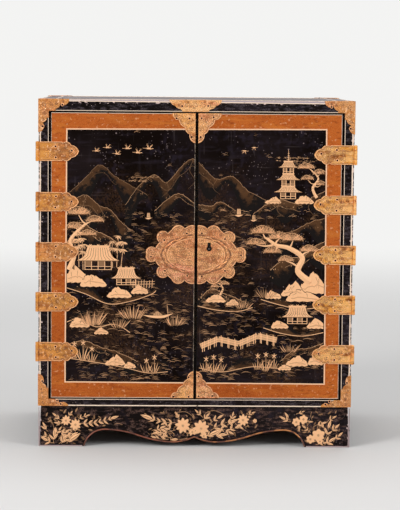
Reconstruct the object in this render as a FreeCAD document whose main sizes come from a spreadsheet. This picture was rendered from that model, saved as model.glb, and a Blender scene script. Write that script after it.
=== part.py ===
"""A black lacquer table cabinet on a low bracket-footed stand.

Two doors hang on ten gilt strap hinges at the carcass's outer front corners and cover two
columns of drawers. Millimetres; X to the right, the front faces -Y, Z up. The origin is on the
floor, under the middle of the whole piece.
"""
import FreeCAD, Part
import os
import Sketcher

os.makedirs("parts", exist_ok=True)
doc = FreeCAD.newDocument("cabinet_on_stand")

# ---------------------------------------------------------------------------------------------
# Driving dimensions
# ---------------------------------------------------------------------------------------------

SIZES = {
    # carcass boards
    "carcass_width": 460.0,
    "carcass_depth": 300.0,
    "carcass_height": 450.0,
    "side_board": 14.5,
    "top_board": 16.5,
    "bottom_board": 10.5,
    "back_board": 8.0,
    "back_lap": 7.0,
    "tongue_width": 5.0,
    "tongue_depth": 4.0,
    "tongue_setback": 12.0,
    "joint_clearance": 0.1,
    # inner partition and dust boards
    "partition_board": 12.0,
    "dust_board": 6.0,
    "housing_depth": 3.0,
    # doors
    "door_thickness": 14.0,
    "door_side_gap": 2.2,
    "door_end_gap": 2.0,
    "door_middle_gap": 4.4,
    # stand
    "stand_height": 60.5,
    "stand_setback": 3.5,
    "stand_flare": 2.5,
    "apron_board": 13.0,
    "foot_length": 67.0,
    "arch_shoulder": 34.0,
    "pendant_reach": 33.0,
    "side_foot_length": 58.0,
    "side_arch_shoulder": 28.0,
    "side_pendant_reach": 16.0,
    "arch_height": 25.0,
    "pendant_clearance": 6.6,
    "cusp_height": 14.5,
    "deck_board": 10.0,
    "glue_block": 28.0,
    # strap hinges
    "hinge_rows": 5,
    "hinge_end_distance": 78.0,
    "hinge_lift": 1.5,
    "hinge_stagger": 2.3,
    "hinge_height": 28.0,
    "hinge_sheet": 1.2,
    "hinge_reach": 58.5,
    "side_leaf_reach": 58.5,
    "knuckle_radius": 2.5,
    "middle_knuckle": 14.0,
    "knuckle_gap": 0.3,
    "pin_radius": 1.12,
    "pin_bore_radius": 1.2,
    "pin_head": 0.6,
    "pin_offset": 2.0,
    # corner and centre mounts
    "mount_sheet": 0.8,
    "corner_reach": 44.0,
    "corner_drop": 47.5,
    "corner_spandrel": 44.0,
    "rear_spandrel": 36.0,
    "centre_mount_top": 76.0,
    "centre_mount_foot": 38.0,
    "centre_mount_lap": 20.0,
    "centre_mount_shift": 2.2,
    "door_mount_width": 33.5,
    "door_mount_drop": 43.5,
    "lower_door_mount_drop": 40.0,
    # lock
    "plate_half_width": 72.7,
    "plate_half_height": 43.0,
    "plate_sheet": 1.2,
    "plate_field": 0.7,
    "plate_field_width": 49.0,
    "plate_field_height": 29.5,
    "keyhole_offset": 19.3,
    "keyhole_rise": 8.8,
    "keyhole_radius": 3.8,
    "keyhole_slot_width": 4.8,
    "keyhole_slot_rise": 9.0,
    "lock_case_width": 52.0,
    "lock_case_height": 46.0,
    "lock_case_depth": 10.0,
    "lock_case_wall": 1.5,
    "drill_pin_radius": 1.3,
    "bolt_height": 9.0,
    "bolt_thickness": 3.5,
    "bolt_length": 34.0,
    "bolt_clearance": 0.3,
    "keeper_width": 3.0,
    "keeper_wall": 2.0,
    "keeper_room": 1.5,
    # drawers
    "drawer_rows": 4,
    "drawer_row_step": 9.0,
    "drawer_setback": 16.0,
    "drawer_side_clearance": 0.6,
    "drawer_top_clearance": 0.9,
    "drawer_bottom_clearance": 0.2,
    "drawer_back_room": 6.0,
    "drawer_front_board": 9.0,
    "drawer_side_board": 6.0,
    "drawer_bottom_board": 4.0,
    "drawer_rim_drop": 3.0,
    "knob_radius": 5.5,
    "knob_neck_radius": 2.2,
    "knob_plate_radius": 10.0,
    "knob_plate": 0.8,
    "knob_reach": 11.0,
}

sheet = doc.addObject("Spreadsheet::Sheet", "Sizes")
for row, (alias, number) in enumerate(SIZES.items(), start=1):
    sheet.set(f"A{row}", alias)
    sheet.set(f"B{row}", str(number))
    sheet.setAlias(f"B{row}", alias)
doc.recompute()


class Measure:
    """A number in millimetres together with the spreadsheet expression that gives it."""

    def __init__(self, text, value):
        self.text = text
        self.value = value

    @staticmethod
    def of(thing):
        return thing if isinstance(thing, Measure) else Measure(repr(float(thing)), float(thing))

    def __add__(self, other):
        other = Measure.of(other)
        return Measure(f"({self.text} + {other.text})", self.value + other.value)

    def __sub__(self, other):
        other = Measure.of(other)
        return Measure(f"({self.text} - {other.text})", self.value - other.value)

    def __mul__(self, other):
        other = Measure.of(other)
        return Measure(f"({self.text} * {other.text})", self.value * other.value)

    def __truediv__(self, other):
        other = Measure.of(other)
        return Measure(f"({self.text} / {other.text})", self.value / other.value)

    def __radd__(self, other):
        return Measure.of(other) + self

    def __rsub__(self, other):
        return Measure.of(other) - self

    def __rmul__(self, other):
        return Measure.of(other) * self

    def __neg__(self):
        return Measure(f"(0 - {self.text})", -self.value)


class Sizes:
    """The spreadsheet's cells as measures: size.hinge_height and so on."""

    def __getattr__(self, alias):
        return Measure("Sizes." + alias, float(sheet.get(alias)))


size = Sizes()
ZERO = Measure.of(0)

# Planes that several pieces share. The box that the origin is centred in runs from the front of
# the hinge barrels to the back of the rear corner mounts.
HALF_WIDTH = size.carcass_width / 2
BARREL_REACH = size.pin_offset + size.knuckle_radius
FRONT = (BARREL_REACH - size.carcass_depth - size.mount_sheet) / 2
BACK = FRONT + size.carcass_depth
FLOOR = size.stand_height
TOP = FLOOR + size.carcass_height
MIDDLE_HEIGHT = FLOOR + size.carcass_height / 2
INNER_HALF = HALF_WIDTH - size.side_board
INNER_FLOOR = FLOOR + size.bottom_board
INNER_TOP = TOP - size.top_board
BACK_FACE = BACK - size.back_board
DOOR_BACK = FRONT + size.door_thickness
DRAWER_FRONT = DOOR_BACK + size.drawer_setback
PIN_X = HALF_WIDTH + size.pin_offset
PIN_Y = FRONT - size.pin_offset
DOOR_LOW = INNER_FLOOR + size.door_end_gap
DOOR_HIGH = INNER_TOP - size.door_end_gap
DOOR_INNER = size.door_middle_gap / 2
DOOR_OUTER = INNER_HALF - size.door_side_gap

finished = {}


def finish(node, thing):
    """Names a finished piece after its node."""
    thing.Label = node
    finished[node] = thing
    return thing


def low_first(one, other):
    """Two planes across an axis, the lower one first."""
    return sorted((one, other), key=lambda plane: plane.value)


def bind(thing, path, measure):
    thing.setExpression(path, Measure.of(measure).text)


def place(thing, x, y, z):
    for axis, measure in zip("xyz", (x, y, z)):
        bind(thing, "Placement.Base." + axis, measure)


def block(name, x, y, z):
    """A rectangular board between pairs of planes."""
    board = doc.addObject("Part::Box", name)
    for (low, high), side in zip((x, y, z), ("Length", "Width", "Height")):
        bind(board, side, Measure.of(high) - low)
    place(board, x[0], y[0], z[0])
    return board


def rod(name, radius, height, x, y, z):
    """A round bar standing along Z."""
    bar = doc.addObject("Part::Cylinder", name)
    bind(bar, "Radius", radius)
    bind(bar, "Height", height)
    place(bar, x, y, z)
    return bar


def joined(name, pieces):
    whole = doc.addObject("Part::MultiFuse", name)
    whole.Shapes = pieces
    whole.Refine = True
    return whole


def cut(name, base, tools):
    remains = doc.addObject("Part::Cut", name)
    remains.Base = base
    remains.Tool = tools[0] if len(tools) == 1 else joined(name + "_tools", tools)
    return remains


def group(name, pieces):
    """Separate solids that share one node."""
    several = doc.addObject("Part::Compound", name)
    several.Links = pieces
    return several


# ---------------------------------------------------------------------------------------------
# Outlines
# ---------------------------------------------------------------------------------------------

class Bow:
    """A stretch of an outline: the arc through via to end."""

    def __init__(self, via, end):
        self.via = via
        self.end = end


def scaled(path, width, height):
    """An outline given in shares of its width and height, as measures."""
    def at(point):
        return (width * point[0], height * point[1])
    return [Bow(at(step.via), at(step.end)) if isinstance(step, Bow) else at(step) for step in path]


def mirrored(path, across):
    """The same outline turned over: across is (-1, 1) or (1, -1)."""
    return scaled(path, Measure.of(across[0]), Measure.of(across[1]))


def returned(path, across):
    """The path followed backwards on the other side of an axis, for a symmetric outline."""
    ends = [step.end if isinstance(step, Bow) else step for step in path]
    back = []
    for index in range(len(path) - 1, 0, -1):
        step = path[index]
        back.append(Bow(step.via, ends[index - 1]) if isinstance(step, Bow) else ends[index - 1])
    return mirrored(back, across)


def vector(point):
    return FreeCAD.Vector(Measure.of(point[0]).value, Measure.of(point[1]).value, 0)


def draw(sketch, path):
    """Draws a closed outline and ties each of its points to the spreadsheet."""
    ends = [step.end if isinstance(step, Bow) else step for step in path]
    ties = []

    def tie(geometry, corner, point):
        for kind, measure in zip(("DistanceX", "DistanceY"), point):
            value = Measure.of(measure)
            ties.append((Sketcher.Constraint(kind, -1, 1, geometry, corner, value.value), value))

    edges = []
    for index, step in enumerate(path[1:] + path[:1]):
        start = ends[index]
        if isinstance(step, Bow):
            curve = Part.Arc(vector(start), vector(step.via), vector(step.end))
        else:
            curve = Part.LineSegment(vector(start), vector(step))
        edge = sketch.addGeometry(curve, False)
        forward = sketch.getPoint(edge, 1).distanceToPoint(vector(start)) < 1e-6
        edges.append((edge, 1 if forward else 2, 2 if forward else 1))
        tie(edge, edges[-1][1], start)
        if isinstance(step, Bow):
            peg = sketch.addGeometry(Part.Point(vector(step.via)), True)
            tie(peg, 1, step.via)
            ties.append((Sketcher.Constraint("PointOnObject", peg, 1, edge), None))
    for index, (edge, _, last) in enumerate(edges):
        following, first, _ = edges[(index + 1) % len(edges)]
        ties.append((Sketcher.Constraint("Coincident", edge, last, following, first), None))
    first_tie = sketch.ConstraintCount
    sketch.addConstraint([constraint for constraint, _ in ties])
    for number, (_, value) in enumerate(ties, start=first_tie):
        if value is not None and "Sizes" in value.text:
            sketch.setExpression(f"Constraints[{number}]", value.text)


def new_body(name):
    return doc.addObject("PartDesign::Body", name)


def sketch_on(body, role, name, offset=ZERO):
    """A sketch on one of the body's own origin planes, moved along its normal by offset."""
    sketch = body.newObject("Sketcher::SketchObject", name)
    plane = next(feature for feature in body.Origin.OriginFeatures if feature.Role == role)
    sketch.AttachmentSupport = (plane, [""])
    sketch.MapMode = "FlatFace"
    if "Sizes" in Measure.of(offset).text:
        bind(sketch, "AttachmentOffset.Base.z", offset)
    return sketch


def ring(sketch, radius):
    """A circle about the sketch's origin, or about a body's own axis."""
    edge = sketch.addGeometry(Part.Circle(FreeCAD.Vector(), FreeCAD.Vector(0, 0, 1), radius.value), False)
    sketch.addConstraint(Sketcher.Constraint("Coincident", edge, 3, -1, 1))
    tie = sketch.addConstraint(Sketcher.Constraint("Radius", edge, radius.value))
    sketch.setExpression(f"Constraints[{tie}]", radius.text)


def pad(body, sketch, length, reverse=False, through_middle=False):
    feature = body.newObject("PartDesign::Pad", sketch.Name + "_pad")
    feature.Profile = sketch
    bind(feature, "Length", length)
    feature.Reversed = reverse
    if through_middle:
        feature.SideType = "Symmetric"
    body.Tip = feature
    return feature


def pocket(body, sketch, length, reverse=False, through_middle=False):
    feature = body.newObject("PartDesign::Pocket", sketch.Name + "_pocket")
    feature.Profile = sketch
    bind(feature, "Length", length)
    feature.Reversed = reverse
    if through_middle:
        feature.SideType = "Symmetric"
    body.Tip = feature
    return feature


# ---------------------------------------------------------------------------------------------
# Stand
# ---------------------------------------------------------------------------------------------

def apron_arch(half_length, foot, shoulder, reach):
    """The opening under an apron: a steep shoulder at each foot, a long fall to the middle
    pendant, and a cusp at the centre."""
    inner = half_length - foot
    crown = inner - shoulder
    fall = (crown + reach) / 2
    half_way = (size.arch_height + size.pendant_clearance) / 2
    below = -size.pendant_clearance
    right = [
        (ZERO, size.cusp_height),
        Bow((reach * 0.5, size.pendant_clearance + (size.cusp_height - size.pendant_clearance) * 0.25),
            (reach, size.pendant_clearance)),
        Bow(((reach + fall) / 2, size.pendant_clearance + (half_way - size.pendant_clearance) * 0.3),
            (fall, half_way)),
        Bow(((fall + crown) / 2, half_way + (size.arch_height - half_way) * 0.7),
            (crown, size.arch_height)),
        Bow((crown + shoulder * 0.7, size.arch_height * 0.7), (inner, ZERO)),
        (inner, below),
    ]
    return right + [(-inner, below)] + returned(right, (-1, 1))[:-1]


def apron(node, long_way, turned, half_length, arch_sizes):
    """One side of the stand: long_way is the axis it runs along, turned is the side that it
    faces (-1 for the front or left, 1 for the back or right) and arch_sizes are its foot's
    length, its shoulder and its pendant's reach."""
    along_x = long_way == "x"
    body = new_body(node)
    outer_top = size.stand_setback
    outer_foot = size.stand_setback - size.stand_flare
    inner = size.stand_setback + size.apron_board
    # section across the board, measured inwards from the carcass's face
    section = sketch_on(body, "YZ_Plane" if along_x else "XZ_Plane", node + "_section")
    inwards = -turned
    draw(section, [
        (inwards * outer_foot, ZERO),
        (inwards * inner, ZERO),
        (inwards * inner, size.stand_height),
        (inwards * outer_top, size.stand_height),
    ])
    pad(body, section, half_length * 2, through_middle=True)
    arch = sketch_on(body, "XZ_Plane" if along_x else "YZ_Plane", node + "_arch")
    draw(arch, apron_arch(half_length, *arch_sizes))
    pocket(body, arch, inner * 4, through_middle=True)
    # mitred ends: the cut runs inwards at 45 degrees from the carcass's corner
    for hand, end in ((1, "high"), (-1, "low")):
        mitre = sketch_on(body, "XY_Plane", f"{node}_mitre_{end}")
        spare = size.apron_board
        corners = [
            (hand * (half_length + spare), -inwards * spare),
            (hand * (half_length + spare), inwards * (inner + spare)),
            (hand * (half_length - inner - spare), inwards * (inner + spare)),
        ]
        if not along_x:
            corners = [(across, along) for along, across in corners]
        draw(mitre, corners)
        pocket(body, mitre, size.stand_height, reverse=True)
    return finish(node, body)


def stand():
    half_depth = size.carcass_depth / 2
    centre_y = (FRONT + BACK) / 2
    long_arch = (size.foot_length, size.arch_shoulder, size.pendant_reach)
    short_arch = (size.side_foot_length, size.side_arch_shoulder, size.side_pendant_reach)
    for node, turned, y in (("stand_front_apron", -1, FRONT), ("stand_back_apron", 1, BACK)):
        place(apron(node, "x", turned, HALF_WIDTH, long_arch), ZERO, y, ZERO)
    for node, turned in (("stand_left_apron", -1), ("stand_right_apron", 1)):
        side = apron(node, "y", turned, half_depth, short_arch)
        place(side, turned * HALF_WIDTH, centre_y, ZERO)
    inset = size.stand_setback + size.apron_board
    deck_x = HALF_WIDTH - inset
    deck_low = size.stand_height - size.deck_board
    finish("stand_deck", block("deck", (-deck_x, deck_x), (FRONT + inset, BACK - inset),
                               (deck_low, size.stand_height)))
    blocks = []
    for name, hand_x, corner_y, hand_y in (
            ("front_left", -1, FRONT + inset, 1), ("front_right", 1, FRONT + inset, 1),
            ("back_left", -1, BACK - inset, -1), ("back_right", 1, BACK - inset, -1)):
        body = new_body("glue_block_" + name)
        plan = sketch_on(body, "XY_Plane", f"glue_block_{name}_plan")
        draw(plan, [(ZERO, ZERO), (-hand_x * size.glue_block, ZERO), (ZERO, hand_y * size.glue_block)])
        pad(body, plan, deck_low)
        place(body, hand_x * deck_x, corner_y, ZERO)
        blocks.append(body)
    finish("stand_glue_blocks", group("glue_blocks", blocks))


# ---------------------------------------------------------------------------------------------
# Carcass
# ---------------------------------------------------------------------------------------------

ROWS = int(size.drawer_rows.value)


def bay_height(row):
    """Height of a drawer's bay, counted from the lowest row. Each bay is one step taller than the
    bay above it."""
    boards = size.drawer_rows - 1
    mean = (INNER_TOP - INNER_FLOOR - size.dust_board * boards) / size.drawer_rows
    return mean + (boards / 2 - row) * size.drawer_row_step


def row_floor(row):
    rise = INNER_FLOOR
    for below in range(row):
        rise = rise + bay_height(below) + size.dust_board
    return rise


def tongue_planes(hand):
    """The tongue on a side board's end: its two faces across X."""
    middle = hand * (INNER_HALF + size.side_board / 2)
    return middle - size.tongue_width / 2, middle + size.tongue_width / 2


def housings(side_name, low_x, high_x):
    """Grooves for the dust boards, open to the front edge of the partition."""
    grooves = []
    for row in range(1, ROWS):
        top = row_floor(row)
        grooves.append(block(
            f"{side_name}_housing_{row}", (low_x, high_x),
            (DRAWER_FRONT - size.joint_clearance, BACK_FACE),
            (top - size.dust_board - size.joint_clearance / 2, top + size.joint_clearance / 2)))
    return grooves


def carcass_side(node, hand):
    """A side board: tongued into the top and bottom, housed for dust boards, lapped for the back."""
    edges = low_first(hand * INNER_HALF, hand * HALF_WIDTH)
    board = block(node + "_board", edges, (FRONT, BACK), (INNER_FLOOR, INNER_TOP))
    tongue = block(node + "_tongue", tongue_planes(hand),
                   (FRONT + size.tongue_setback, BACK_FACE),
                   (INNER_FLOOR - size.tongue_depth, INNER_TOP + size.tongue_depth))
    lap = low_first(hand * INNER_HALF, hand * (INNER_HALF + size.back_lap))
    rabbet = block(node + "_rabbet", lap, (BACK_FACE, BACK), (INNER_FLOOR, INNER_TOP))
    inner = low_first(hand * INNER_HALF, hand * (INNER_HALF + size.housing_depth))
    grooves = housings(node, *inner)
    finish(node, cut(node, joined(node + "_blank", [board, tongue]), [rabbet] + grooves))


def carcass_end(node, low, high, inner, outwards):
    """The top or bottom board, grooved on its inner face for the sides and the partition."""
    board = block(node + "_board", (-HALF_WIDTH, HALF_WIDTH), (FRONT, BACK), (low, high))
    tools = []

    def depth(measure):
        return low_first(inner, inner + outwards * measure)

    for name, hand in (("left", -1), ("right", 1)):
        near, far = tongue_planes(hand)
        tools.append(block(
            f"{node}_{name}_groove",
            (near - size.joint_clearance / 2, far + size.joint_clearance / 2),
            (FRONT + size.tongue_setback - size.joint_clearance, BACK_FACE),
            depth(size.tongue_depth + size.joint_clearance)))
    half = size.partition_board / 2 + size.joint_clearance / 2
    tools.append(block(f"{node}_partition_groove", (-half, half),
                       (DRAWER_FRONT - size.joint_clearance, BACK_FACE),
                       depth(size.housing_depth + size.joint_clearance)))
    lap = INNER_HALF + size.back_lap
    tools.append(block(node + "_rabbet", (-lap, lap), (BACK_FACE, BACK), depth(size.back_lap)))
    finish(node, cut(node, board, tools))


def carcass():
    carcass_side("carcass_left_side", -1)
    carcass_side("carcass_right_side", 1)
    carcass_end("carcass_top", INNER_TOP, TOP, INNER_TOP, 1)
    carcass_end("carcass_bottom", FLOOR, INNER_FLOOR, INNER_FLOOR, -1)
    lap = size.back_lap - size.joint_clearance
    finish("carcass_back", block(
        "back_panel", (-INNER_HALF - lap, INNER_HALF + lap), (BACK_FACE, BACK),
        (INNER_FLOOR - lap, INNER_TOP + lap)))
    half = size.partition_board / 2
    panel = block("partition_board", (-half, half), (DRAWER_FRONT, BACK_FACE),
                  (INNER_FLOOR - size.housing_depth, INNER_TOP + size.housing_depth))
    grooves = housings("partition_left", -half, -half + size.housing_depth)
    grooves += housings("partition_right", half - size.housing_depth, half)
    finish("centre_partition", cut("partition", panel, grooves))
    shelves = []
    for name, hand in (("left", -1), ("right", 1)):
        reach = size.housing_depth - size.joint_clearance
        planes = low_first(hand * (half - reach), hand * (INNER_HALF + reach))
        for row in range(1, ROWS):
            top = row_floor(row)
            shelves.append(block(f"dust_board_{name}_{row}", planes, (DRAWER_FRONT, BACK_FACE),
                                 (top - size.dust_board, top)))
    finish("dust_boards", group("dust_boards", shelves))


# ---------------------------------------------------------------------------------------------
# Gilt mounts
# ---------------------------------------------------------------------------------------------

# A leafy quarter plate, in shares of its width and drop: right angle at (0, 0), four lobes.
SPANDREL = [
    (0, 0), (1, 0),
    Bow((0.95, 0.14), (0.73, 0.22)),
    Bow((0.64, 0.385), (0.46, 0.48)),
    Bow((0.40, 0.62), (0.25, 0.71)),
    Bow((0.215, 0.885), (0, 1)),
]


def arm(reach, width, full=0.56):
    """Edge of a corner plate's arm, from its tip back to where it is as wide as the board."""
    return [
        (reach, ZERO),
        Bow((reach * 0.945, width * 0.36), (reach * 0.76, width * 0.50)),
        (reach * 0.715, width * 0.32),
        Bow((reach * 0.665, width * 0.66), (reach * full, width * 0.82)),
        (reach * full, width),
    ]


def turned_round(path):
    """Swaps an outline's two axes."""
    def swap(point):
        return (point[1], point[0])
    return [Bow(swap(step.via), swap(step.end)) if isinstance(step, Bow) else swap(step)
            for step in path]


def backwards(path):
    return returned(path, (1, 1))


def wrapped(edge, width, over):
    """The straight edges of a corner plate, from its lower end round to the end of its arm.
    They run past the corner by the sheet's thickness: sideways, and over the end if over is
    given."""
    side = -size.mount_sheet
    if over:
        return [(side, edge), (side, side), (width, side)]
    return [(side, edge), (side, ZERO)]


def corner_plate(reach, board, drop, side, over):
    """An L-shaped plate with cusped arms."""
    down = turned_round(arm(drop, side))
    return (wrapped(drop, reach, over) + arm(reach, board) + [(side, board), down[-1]]
            + backwards(down))


def wrapped_spandrel(width, drop, over):
    return wrapped(drop, width, over) + scaled(SPANDREL, width, drop)[1:]


def front_corner_mount(node, hand, upper, board):
    """hand is -1 at the left and 1 at the right; board is the edge that the cross arm covers."""
    rise = -1 if upper else 1
    body = new_body(node)
    face = sketch_on(body, "XZ_Plane", node + "_face")
    plate = corner_plate(size.corner_reach, board, size.corner_drop, size.side_board, upper)
    draw(face, mirrored(plate, (-hand, rise)))
    pad(body, face, size.mount_sheet)
    flank = sketch_on(body, "YZ_Plane", node + "_flank")
    flank_leaf = wrapped_spandrel(size.corner_spandrel, size.corner_drop, upper)
    draw(flank, mirrored(flank_leaf, (1, rise)))
    pad(body, flank, size.mount_sheet, reverse=hand < 0)
    if upper:
        level = sketch_on(body, "XY_Plane", node + "_level")
        level_leaf = wrapped_spandrel(size.corner_reach, size.corner_spandrel, True)
        draw(level, mirrored(level_leaf, (-hand, 1)))
        pad(body, level, size.mount_sheet)
    place(body, hand * HALF_WIDTH, FRONT, TOP if upper else FLOOR)
    return finish(node, body)


def rear_corner_mount(name, hand):
    body = new_body(name)
    reach = size.rear_spandrel
    for role, where, across, reverse in (
            ("XZ_Plane", "back", (-hand, -1), True),
            ("YZ_Plane", "flank", (-1, -1), hand < 0),
            ("XY_Plane", "level", (-hand, -1), False)):
        leaf = sketch_on(body, role, f"{name}_{where}")
        draw(leaf, mirrored(wrapped_spandrel(reach, reach, True), across))
        pad(body, leaf, size.mount_sheet, reverse=reverse)
    place(body, hand * HALF_WIDTH, BACK, TOP)
    return body


def top_centre_mount():
    """Covers the top board's front edge over the meeting doors and laps onto the top."""
    half_top = size.centre_mount_top / 2
    half_foot = size.centre_mount_foot / 2
    drop = size.top_board
    spread = half_top - half_foot
    right = [
        (half_top, ZERO),
        Bow((half_foot + spread * 0.82, -drop * 0.33), (half_foot + spread * 0.56, -drop * 0.48)),
        Bow((half_foot + spread * 0.38, -drop * 0.68), (half_foot + spread * 0.22, -drop * 0.75)),
        Bow((half_foot + spread * 0.07, -drop * 0.83), (half_foot, -drop)),
    ]
    body = new_body("top_centre_mount")
    face = sketch_on(body, "XZ_Plane", "centre_face")
    left = returned(right, (-1, 1))
    edge = size.mount_sheet
    draw(face, [(half_top, edge)] + right + [(-half_foot, -drop)] + left + [(-half_top, edge)])
    pad(body, face, size.mount_sheet)
    reach = size.centre_mount_lap
    lap = sketch_on(body, "XY_Plane", "centre_lap")
    draw(lap, [
        (half_top, -edge), (half_top, ZERO),
        Bow((half_top * 0.93, reach * 0.42), (half_top * 0.66, reach * 0.5)),
        Bow((half_top * 0.45, reach * 0.95), (ZERO, reach)),
        Bow((-half_top * 0.45, reach * 0.95), (-half_top * 0.66, reach * 0.5)),
        Bow((-half_top * 0.93, reach * 0.42), (-half_top, ZERO)),
        (-half_top, -edge),
    ])
    pad(body, lap, size.mount_sheet)
    place(body, -size.centre_mount_shift, FRONT, TOP)
    finish("top_centre_mount", body)


def door_mounts(node, hand):
    """The two leafy plates at a door's meeting edge."""
    plates = []
    for name, drop, z, rise in (("upper", size.door_mount_drop, DOOR_HIGH, -1),
                                ("lower", size.lower_door_mount_drop, DOOR_LOW, 1)):
        body = new_body(f"{node}_{name}")
        leaf = sketch_on(body, "XZ_Plane", f"{node}_{name}_leaf")
        draw(leaf, mirrored(scaled(SPANDREL, size.door_mount_width, drop), (hand, rise)))
        pad(body, leaf, size.mount_sheet)
        place(body, hand * DOOR_INNER, FRONT, z)
        plates.append(body)
    finish(node, group(node + "_pair", plates))


def mounts():
    for name, hand in (("left", -1), ("right", 1)):
        front_corner_mount(f"corner_mount_top_{name}", hand, True, size.top_board)
        front_corner_mount(f"corner_mount_bottom_{name}", hand, False, size.bottom_board)
        door_mounts(f"door_{name}_corner_mounts", hand)
    finish("rear_corner_mounts", group("rear_mounts", [
        rear_corner_mount("rear_mount_left", -1), rear_corner_mount("rear_mount_right", 1)]))
    top_centre_mount()


# ---------------------------------------------------------------------------------------------
# Hinges
# ---------------------------------------------------------------------------------------------

def hinge_height(hand, number):
    """Height of a hinge's middle; number 1 is the uppermost. The left door's sit a little higher."""
    pitch = (size.carcass_height - size.hinge_end_distance * 2) / (size.hinge_rows - 1)
    row = ((size.hinge_rows + 1) / 2 - number) * pitch
    return MIDDLE_HEIGHT + size.hinge_lift + row - hand * size.hinge_stagger / 2


def cusped_end(reach, half):
    """The upper edge of a hinge leaf: parallel, a nick, two lobes, and the point."""
    return [
        (reach * 0.60, half),
        Bow((reach * 0.625, half * 0.87), (reach * 0.65, half * 0.96)),
        Bow((reach * 0.76, half * 0.93), (reach * 0.82, half * 0.65)),
        Bow((reach * 0.935, half * 0.45), (reach, ZERO)),
    ]


def leaf_outline(reach, inner_knuckle):
    """A hinge leaf seen flat, from the pin's axis. The leaf with the middle knuckle is cut back
    above and below it; the other is cut back at the middle."""
    half = size.hinge_height / 2
    cleared = size.knuckle_radius + size.knuckle_gap
    split = size.middle_knuckle / 2 + (-size.knuckle_gap if inner_knuckle else size.knuckle_gap) / 2
    upper = cusped_end(reach, half)
    whole = upper + returned(upper, (1, -1))
    if inner_knuckle:
        root = [(cleared, -half), (cleared, -split), (ZERO, -split),
                (ZERO, split), (cleared, split), (cleared, half)]
    else:
        root = [(ZERO, -half), (ZERO, -split), (cleared, -split),
                (cleared, split), (ZERO, split), (ZERO, half)]
    return root + whole


def knuckle(body, name, low, high):
    barrel = sketch_on(body, "XY_Plane", name, offset=low)
    ring(barrel, size.knuckle_radius)
    pad(body, barrel, high - low)


def pin_bore(body, name):
    bore = sketch_on(body, "XY_Plane", name, offset=size.hinge_height / 2)
    ring(bore, size.pin_bore_radius)
    pocket(body, bore, size.hinge_height)


def strap(node, hand, number):
    """The leaf on the door's face, with the two outer knuckles."""
    half = size.hinge_height / 2
    split = (size.middle_knuckle + size.knuckle_gap) / 2
    body = new_body(node)
    leaf = sketch_on(body, "XZ_Plane", node + "_leaf", offset=-size.pin_offset)
    draw(leaf, mirrored(leaf_outline(size.hinge_reach + size.pin_offset, False), (-hand, 1)))
    pad(body, leaf, size.hinge_sheet)
    knuckle(body, node + "_upper_knuckle", split, half)
    knuckle(body, node + "_lower_knuckle", -half, -split)
    pin_bore(body, node + "_bore")
    place(body, hand * PIN_X, PIN_Y, hinge_height(hand, number))
    finish(node, body)


def side_leaf(name, hand, number):
    """The leaf on the carcass's side, with the middle knuckle."""
    split = (size.middle_knuckle - size.knuckle_gap) / 2
    body = new_body(name)
    leaf = sketch_on(body, "YZ_Plane", name + "_leaf", offset=-hand * size.pin_offset)
    draw(leaf, leaf_outline(size.side_leaf_reach + size.pin_offset, True))
    pad(body, leaf, size.hinge_sheet, reverse=hand < 0)
    knuckle(body, name + "_knuckle", -split, split)
    pin_bore(body, name + "_bore")
    place(body, hand * PIN_X, PIN_Y, hinge_height(hand, number))
    return body


def hinges():
    for name, hand in (("left", -1), ("right", 1)):
        leaves = []
        pins = []
        for number in range(1, int(size.hinge_rows.value) + 1):
            strap(f"hinge_strap_{name}_{number}", hand, number)
            leaves.append(side_leaf(f"side_leaf_{name}_{number}", hand, number))
            foot = hinge_height(hand, number) - size.hinge_height / 2 - size.pin_head
            pins.append(rod(f"hinge_pin_{name}_{number}", size.pin_radius,
                            size.hinge_height + size.pin_head * 2, hand * PIN_X, PIN_Y, foot))
        finish(f"hinge_side_leaves_{name}", group(f"side_leaves_{name}", leaves))
        finish(f"hinge_pins_{name}", group(f"pins_{name}", pins))


# ---------------------------------------------------------------------------------------------
# Doors and lock
# ---------------------------------------------------------------------------------------------

KEY_X = size.keyhole_offset
KEY_Z = MIDDLE_HEIGHT + size.keyhole_rise
BOLT_LOW = KEY_Z + size.keyhole_slot_rise
BOLT_Y = DOOR_BACK + size.bolt_clearance * 8


def keyhole(body, middle):
    """Cuts a round hole for the key's pipe, with a slot above it for the bit."""
    hole = sketch_on(body, "XZ_Plane", body.Name + "_keyhole")
    half = size.keyhole_slot_width / 2
    waist = middle + size.keyhole_radius * 0.78
    top = middle + size.keyhole_slot_rise
    draw(hole, [
        Bow((KEY_X, middle - size.keyhole_radius), (KEY_X + half, waist)),
        (KEY_X + half, top),
        (KEY_X - half, top),
        (KEY_X - half, waist),
    ])
    pocket(body, hole, size.door_thickness * 3, through_middle=True)


def door_panel(node, hand):
    """A flat door board between the carcass's edges; the right one has the keyhole."""
    body = new_body(node)
    face = sketch_on(body, "XZ_Plane", node + "_face")
    near = hand * DOOR_INNER
    far = hand * DOOR_OUTER
    draw(face, [(near, DOOR_LOW), (far, DOOR_LOW), (far, DOOR_HIGH), (near, DOOR_HIGH)])
    pad(body, face, size.door_thickness, reverse=True)
    place(body, ZERO, FRONT, ZERO)
    return finish(node, body)


def lock_plate_outline():
    """Upper half of one lock plate, in shares of its half width and half height: two round
    lobes at the top, a scroll at the shoulder, and the lobe at the outer end."""
    return [
        (0.030, 1),
        Bow((0.15, 0.98), (0.227, 0.88)),
        Bow((0.365, 1.005), (0.488, 0.85)),
        (0.568, 0.725),
        Bow((0.755, 0.745), (0.745, 0.43)),
        (0.712, 0.437),
        Bow((0.785, 0.32), (0.822, 0.20)),
        Bow((0.93, 0.255), (1, 0)),
    ]


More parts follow.
